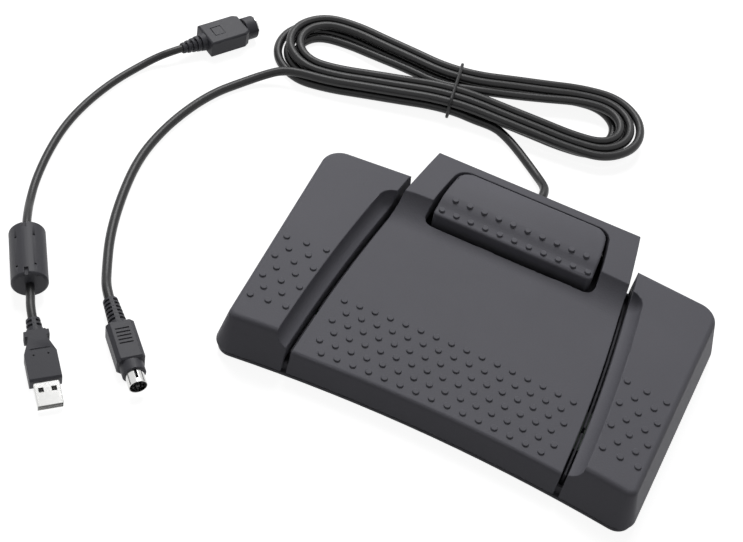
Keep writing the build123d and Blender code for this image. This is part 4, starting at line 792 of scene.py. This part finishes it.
tie_wire = 1.8
tie_play = 0.25
tie_sides = 10
tie_corner_steps = 8
tie_width = 2 * layer_step * (hank_loops - 0.5) + 2 * floor_z + 2 * tie_play + tie_wire
tie_low = tie_wire / 2
tie_height = top_z + waist_lift + floor_z + tie_play + tie_wire / 2 - tie_low
band = Shaper("tie_band", Width=30 * mm, Height=10 * mm, Corner=3 * mm, Wire=1 * mm)
band_line = band.node(
    "GeometryNodeFilletCurve",
    {"mode": "POLY"},
    {
        "Curve": band.box(band.given("Width"), band.given("Height")),
        "Count": tie_corner_steps,
        "Radius": band.given("Corner"),
    },
)
band_section = band.round(tie_sides, band.given("Wire"))
band.finish(band.node("GeometryNodeCurveToMesh", {}, {"Curve": band_line, "Profile Curve": band_section}))
tie = band.make(
    "hank_tie_band",
    tie_finish,
    Width=tie_width * mm,
    Height=tie_height * mm,
    Corner=(floor_z + tie_wire / 2) * mm,
    Wire=tie_wire / 2 * mm,
)
tie_middle = hank_centre - hank_across * waist_drop + Vector((0, 0, tie_low + tie_height / 2))
tie_turn = Matrix((hank_across, (0, 0, 1), hank_along)).transposed().to_4x4()
tie.data.transform(Matrix.Translation(tie_middle * mm) @ tie_turn)
stands_for(tie, "base", "tie_plastic", "hank_tie")


# The small round plug is moulded over the lead's end, with grip grooves, a ribbed relief and a collar.
# Its metal barrel is chromed, slotted and open, with a dark insert and its pins inside.
plug_colour = (0.056, 0.056, 0.066)
chrome_colour = (0.70, 0.70, 0.69)
plug_finish = grained("plug_plastic", plug_colour, grain=0.5 * mm, depth=0.03 * mm, roughness=0.5)
chrome_finish = plated("chrome_plate", chrome_colour, grain=0.6 * mm, depth=0.002 * mm, roughness=0.12)
insert_finish = grained("insert_plastic", part_colour, grain=0.3 * mm, depth=0.01 * mm, roughness=0.4)
din_body_edge = 0.12 * mm
barrel_edge = 0.08 * mm

sleeve_steps = 14
sleeve_sides = 20
spine_share = 0.97
sleeve = Shaper(
    "ribbed_sleeve",
    Start=(0.0, 0.0, 0.0),
    End=(0.0, 0.0, 1.0),
    Tip=3 * mm,
    Root=5 * mm,
    Core=0.76,
    Rib=0.56,
    Spine=0.5,
    Count=7.0,
)
sleeve_line = sleeve.node(
    "GeometryNodeCurvePrimitiveLine",
    {"mode": "POINTS"},
    {"Start": sleeve.given("Start"), "End": sleeve.given("End")},
)
sleeve_line = sleeve.node(
    "GeometryNodeResampleCurve",
    {"mode": "COUNT"},
    {"Curve": sleeve_line, "Count": sleeve.given("Count") * sleeve_steps + 1},
)
sleeve_line = sleeve.node("GeometryNodeSetCurveNormal", {"mode": "Z_UP"}, {"Curve": sleeve_line})
way = sleeve.node("GeometryNodeSplineParameter", output="Factor")
taper = sleeve.given("Tip") + (sleeve.given("Root") - sleeve.given("Tip")) * way
rib_place = way * sleeve.given("Count")
in_rib = way.sum("FRACT", rib_place) < sleeve.given("Rib")
in_last = rib_place > sleeve.given("Count") - 1
ribs = way.sum("MAXIMUM", in_rib, in_last)
core = sleeve.given("Core")
sleeve_round = sleeve.round(sleeve_sides, 1.0)
sleeve_ribs = sleeve.node(
    "GeometryNodeCurveToMesh",
    {},
    {
        "Curve": sleeve_line,
        "Profile Curve": sleeve_round,
        "Scale": taper * (core + (1 - core) * ribs),
        "Fill Caps": True,
    },
)
sleeve_spine = sleeve.node(
    "GeometryNodeCurveToMesh",
    {},
    {
        "Curve": sleeve_line,
        "Profile Curve": sleeve.box(sleeve.given("Spine"), 2.0),
        "Scale": taper * spine_share,
        "Fill Caps": True,
    },
)
sleeve_both = sleeve.node("GeometryNodeJoinGeometry")
for part in (sleeve_ribs, sleeve_spine):
    sleeve.tree.links.new(part.socket, sleeve_both.socket.node.inputs["Geometry"])
sleeve.finish(sleeve_both)


def relief(name, node, start, heading, length, tip, root, ribs, spine=0.5):
    """The ribbed neck of a plug, its thin end at the lead, with its sizes in millimetres."""
    piece = sleeve.make(
        name,
        plug_finish,
        Start=start * mm,
        End=(start + heading * length) * mm,
        Tip=tip * mm,
        Root=root * mm,
        Count=float(ribs),
        Spine=spine,
    )
    return stands_for(piece, "base", "plug_plastic", node)


din_start = Vector(end_line[-1])
din_heading = (din_start - Vector(end_line[-2])).normalized()
relief("din_relief", "din_plug_relief", din_start, din_heading, length=16.8, tip=3.7, root=4.6, ribs=7)
din_body = base_piece("din_body", "din_plug_body", "plug_plastic", plug_finish, din_body_edge)
din_barrel = base_piece("din_barrel", "din_plug_barrel", "chrome_plate", chrome_finish, barrel_edge)
dress(insert_finish, "din_plug_insert", "socket_insert")


# The adapter lead is a thinner one, from a small round socket through a ferrite to a flat plug.
# The socket's body, the plug's body and the ferrite's cover are plastic and moulded over it.
ferrite_colour = (0.10, 0.10, 0.11)
tongue_colour = (0.75, 0.75, 0.74)
ferrite_finish = grained("ferrite", ferrite_colour, grain=0.3 * mm, depth=0.01 * mm, roughness=0.6)
tongue_finish = grained("tongue_plastic", tongue_colour, grain=0.4 * mm, depth=0.01 * mm, roughness=0.4)
adapter_diameter = 4.4 * mm
low_z = adapter_diameter / mm / 2
socket_start = Vector((-219.9, 95.8, 6.5))
socket_heading = Vector((0.533, 0.846, 0)).normalized()
socket_straight = 7.0
ferrite_top = Vector((-216.1, -69.1, 9.0))
ferrite_heading = Vector((0.5696, -0.8219, 0)).normalized()
ferrite_length = 34.0
ferrite_straight = 6.0
ferrite_bottom = ferrite_top + ferrite_heading * ferrite_length
usb_start = Vector((-183.9, -114.8, 9.4))
usb_heading = Vector((0.663, -0.734, -0.148)).normalized()
usb_straight = 6.5
adapter_line = [
    socket_start,
    socket_start - socket_heading * socket_straight,
    (-229.5, 82.9, 4.2),
    (-234.9, 72.5, low_z),
    (-240.0, 56.0, low_z),
    (-243.6, 34.5, low_z),
    (-244.2, 12.5, low_z),
    (-241.0, -9.5, low_z),
    (-235.4, -31.0, low_z),
    (-228.9, -46.8, 3.6),
    (-223.8, -56.4, 7.2),
    ferrite_top - ferrite_heading * ferrite_straight,
    ferrite_top,
    ferrite_bottom,
    ferrite_bottom + ferrite_heading * ferrite_straight,
    usb_start - usb_heading * usb_straight,
    usb_start,
]
adapter_lead = lead("adapter_lead", adapter_line, adapter_diameter, lead_finish)
stands_for(adapter_lead, "base", "lead_rubber", "adapter_cord_upper", "adapter_cord_lower")

cover_edge = 0.3 * mm
ring_edge = 0.15 * mm
usb_body_edge = 0.2 * mm
thin_spine = 0.01
relief(
    "socket_neck",
    "socket_relief",
    socket_start,
    socket_heading,
    length=14.4,
    tip=3.0,
    root=5.2,
    ribs=5,
    spine=thin_spine,
)
relief("usb_neck", "usb_plug_relief", usb_start, usb_heading, length=7.3, tip=3.4, root=4.0, ribs=3)
socket_body = base_piece("socket_case", "socket_body", "plug_plastic", plug_finish, cover_edge)
socket_ring = base_piece("socket_rim", "socket_ring", "chrome_plate", chrome_finish, ring_edge)
ferrite_case = base_piece(
    "ferrite_case", "ferrite_cover", "plug_plastic", plug_finish, cover_edge, shortest=1.5
)
dress(ferrite_finish, "ferrite_core")

pit_sides = 16
pit_radius = 0.5 * mm
pit_depth = 0.6 * mm
pit_along = 20.9
pit_up = 4.1
pit_across = 3.4


def pitted(piece, places, into):
    """A piece with small round blind holes at these places, in millimetres, along one direction."""
    pits = bmesh.new()
    turn = Vector(into).to_track_quat("Z", "Y").to_matrix().to_4x4()
    for place in places:
        bmesh.ops.create_cone(
            pits,
            cap_ends=True,
            segments=pit_sides,
            radius1=pit_radius,
            radius2=pit_radius,
            depth=2 * pit_depth,
            matrix=Matrix.Translation(Vector(place) * mm) @ turn,
        )
    pit_mesh = bpy.data.meshes.new("pits")
    pits.to_mesh(pit_mesh)
    pits.free()
    cutter = linked("pits", pit_mesh)
    boring = piece.modifiers.new("pits", "BOOLEAN")
    boring.operation = "DIFFERENCE"
    boring.object = cutter
    evaluated(piece)
    bpy.data.objects.remove(cutter)
    return piece


usb_level = Vector((-usb_heading.y, usb_heading.x, 0)).normalized()
usb_up = usb_heading.cross(usb_level)
pit_middle = usb_start + usb_heading * pit_along + usb_up * pit_up
pit_places = [pit_middle + usb_level * side for side in (-pit_across, pit_across)]
usb_body = eased("usb_case", merged("usb_plug_body"), plug_finish, usb_body_edge)
stands_for(pitted(usb_body, pit_places, usb_up), "base", "plug_plastic", "usb_plug_body")
usb_shell = base_piece("usb_shell", "usb_plug_shell", "chrome_plate", chrome_finish, barrel_edge)
dress(tongue_finish, "usb_plug_tongue")
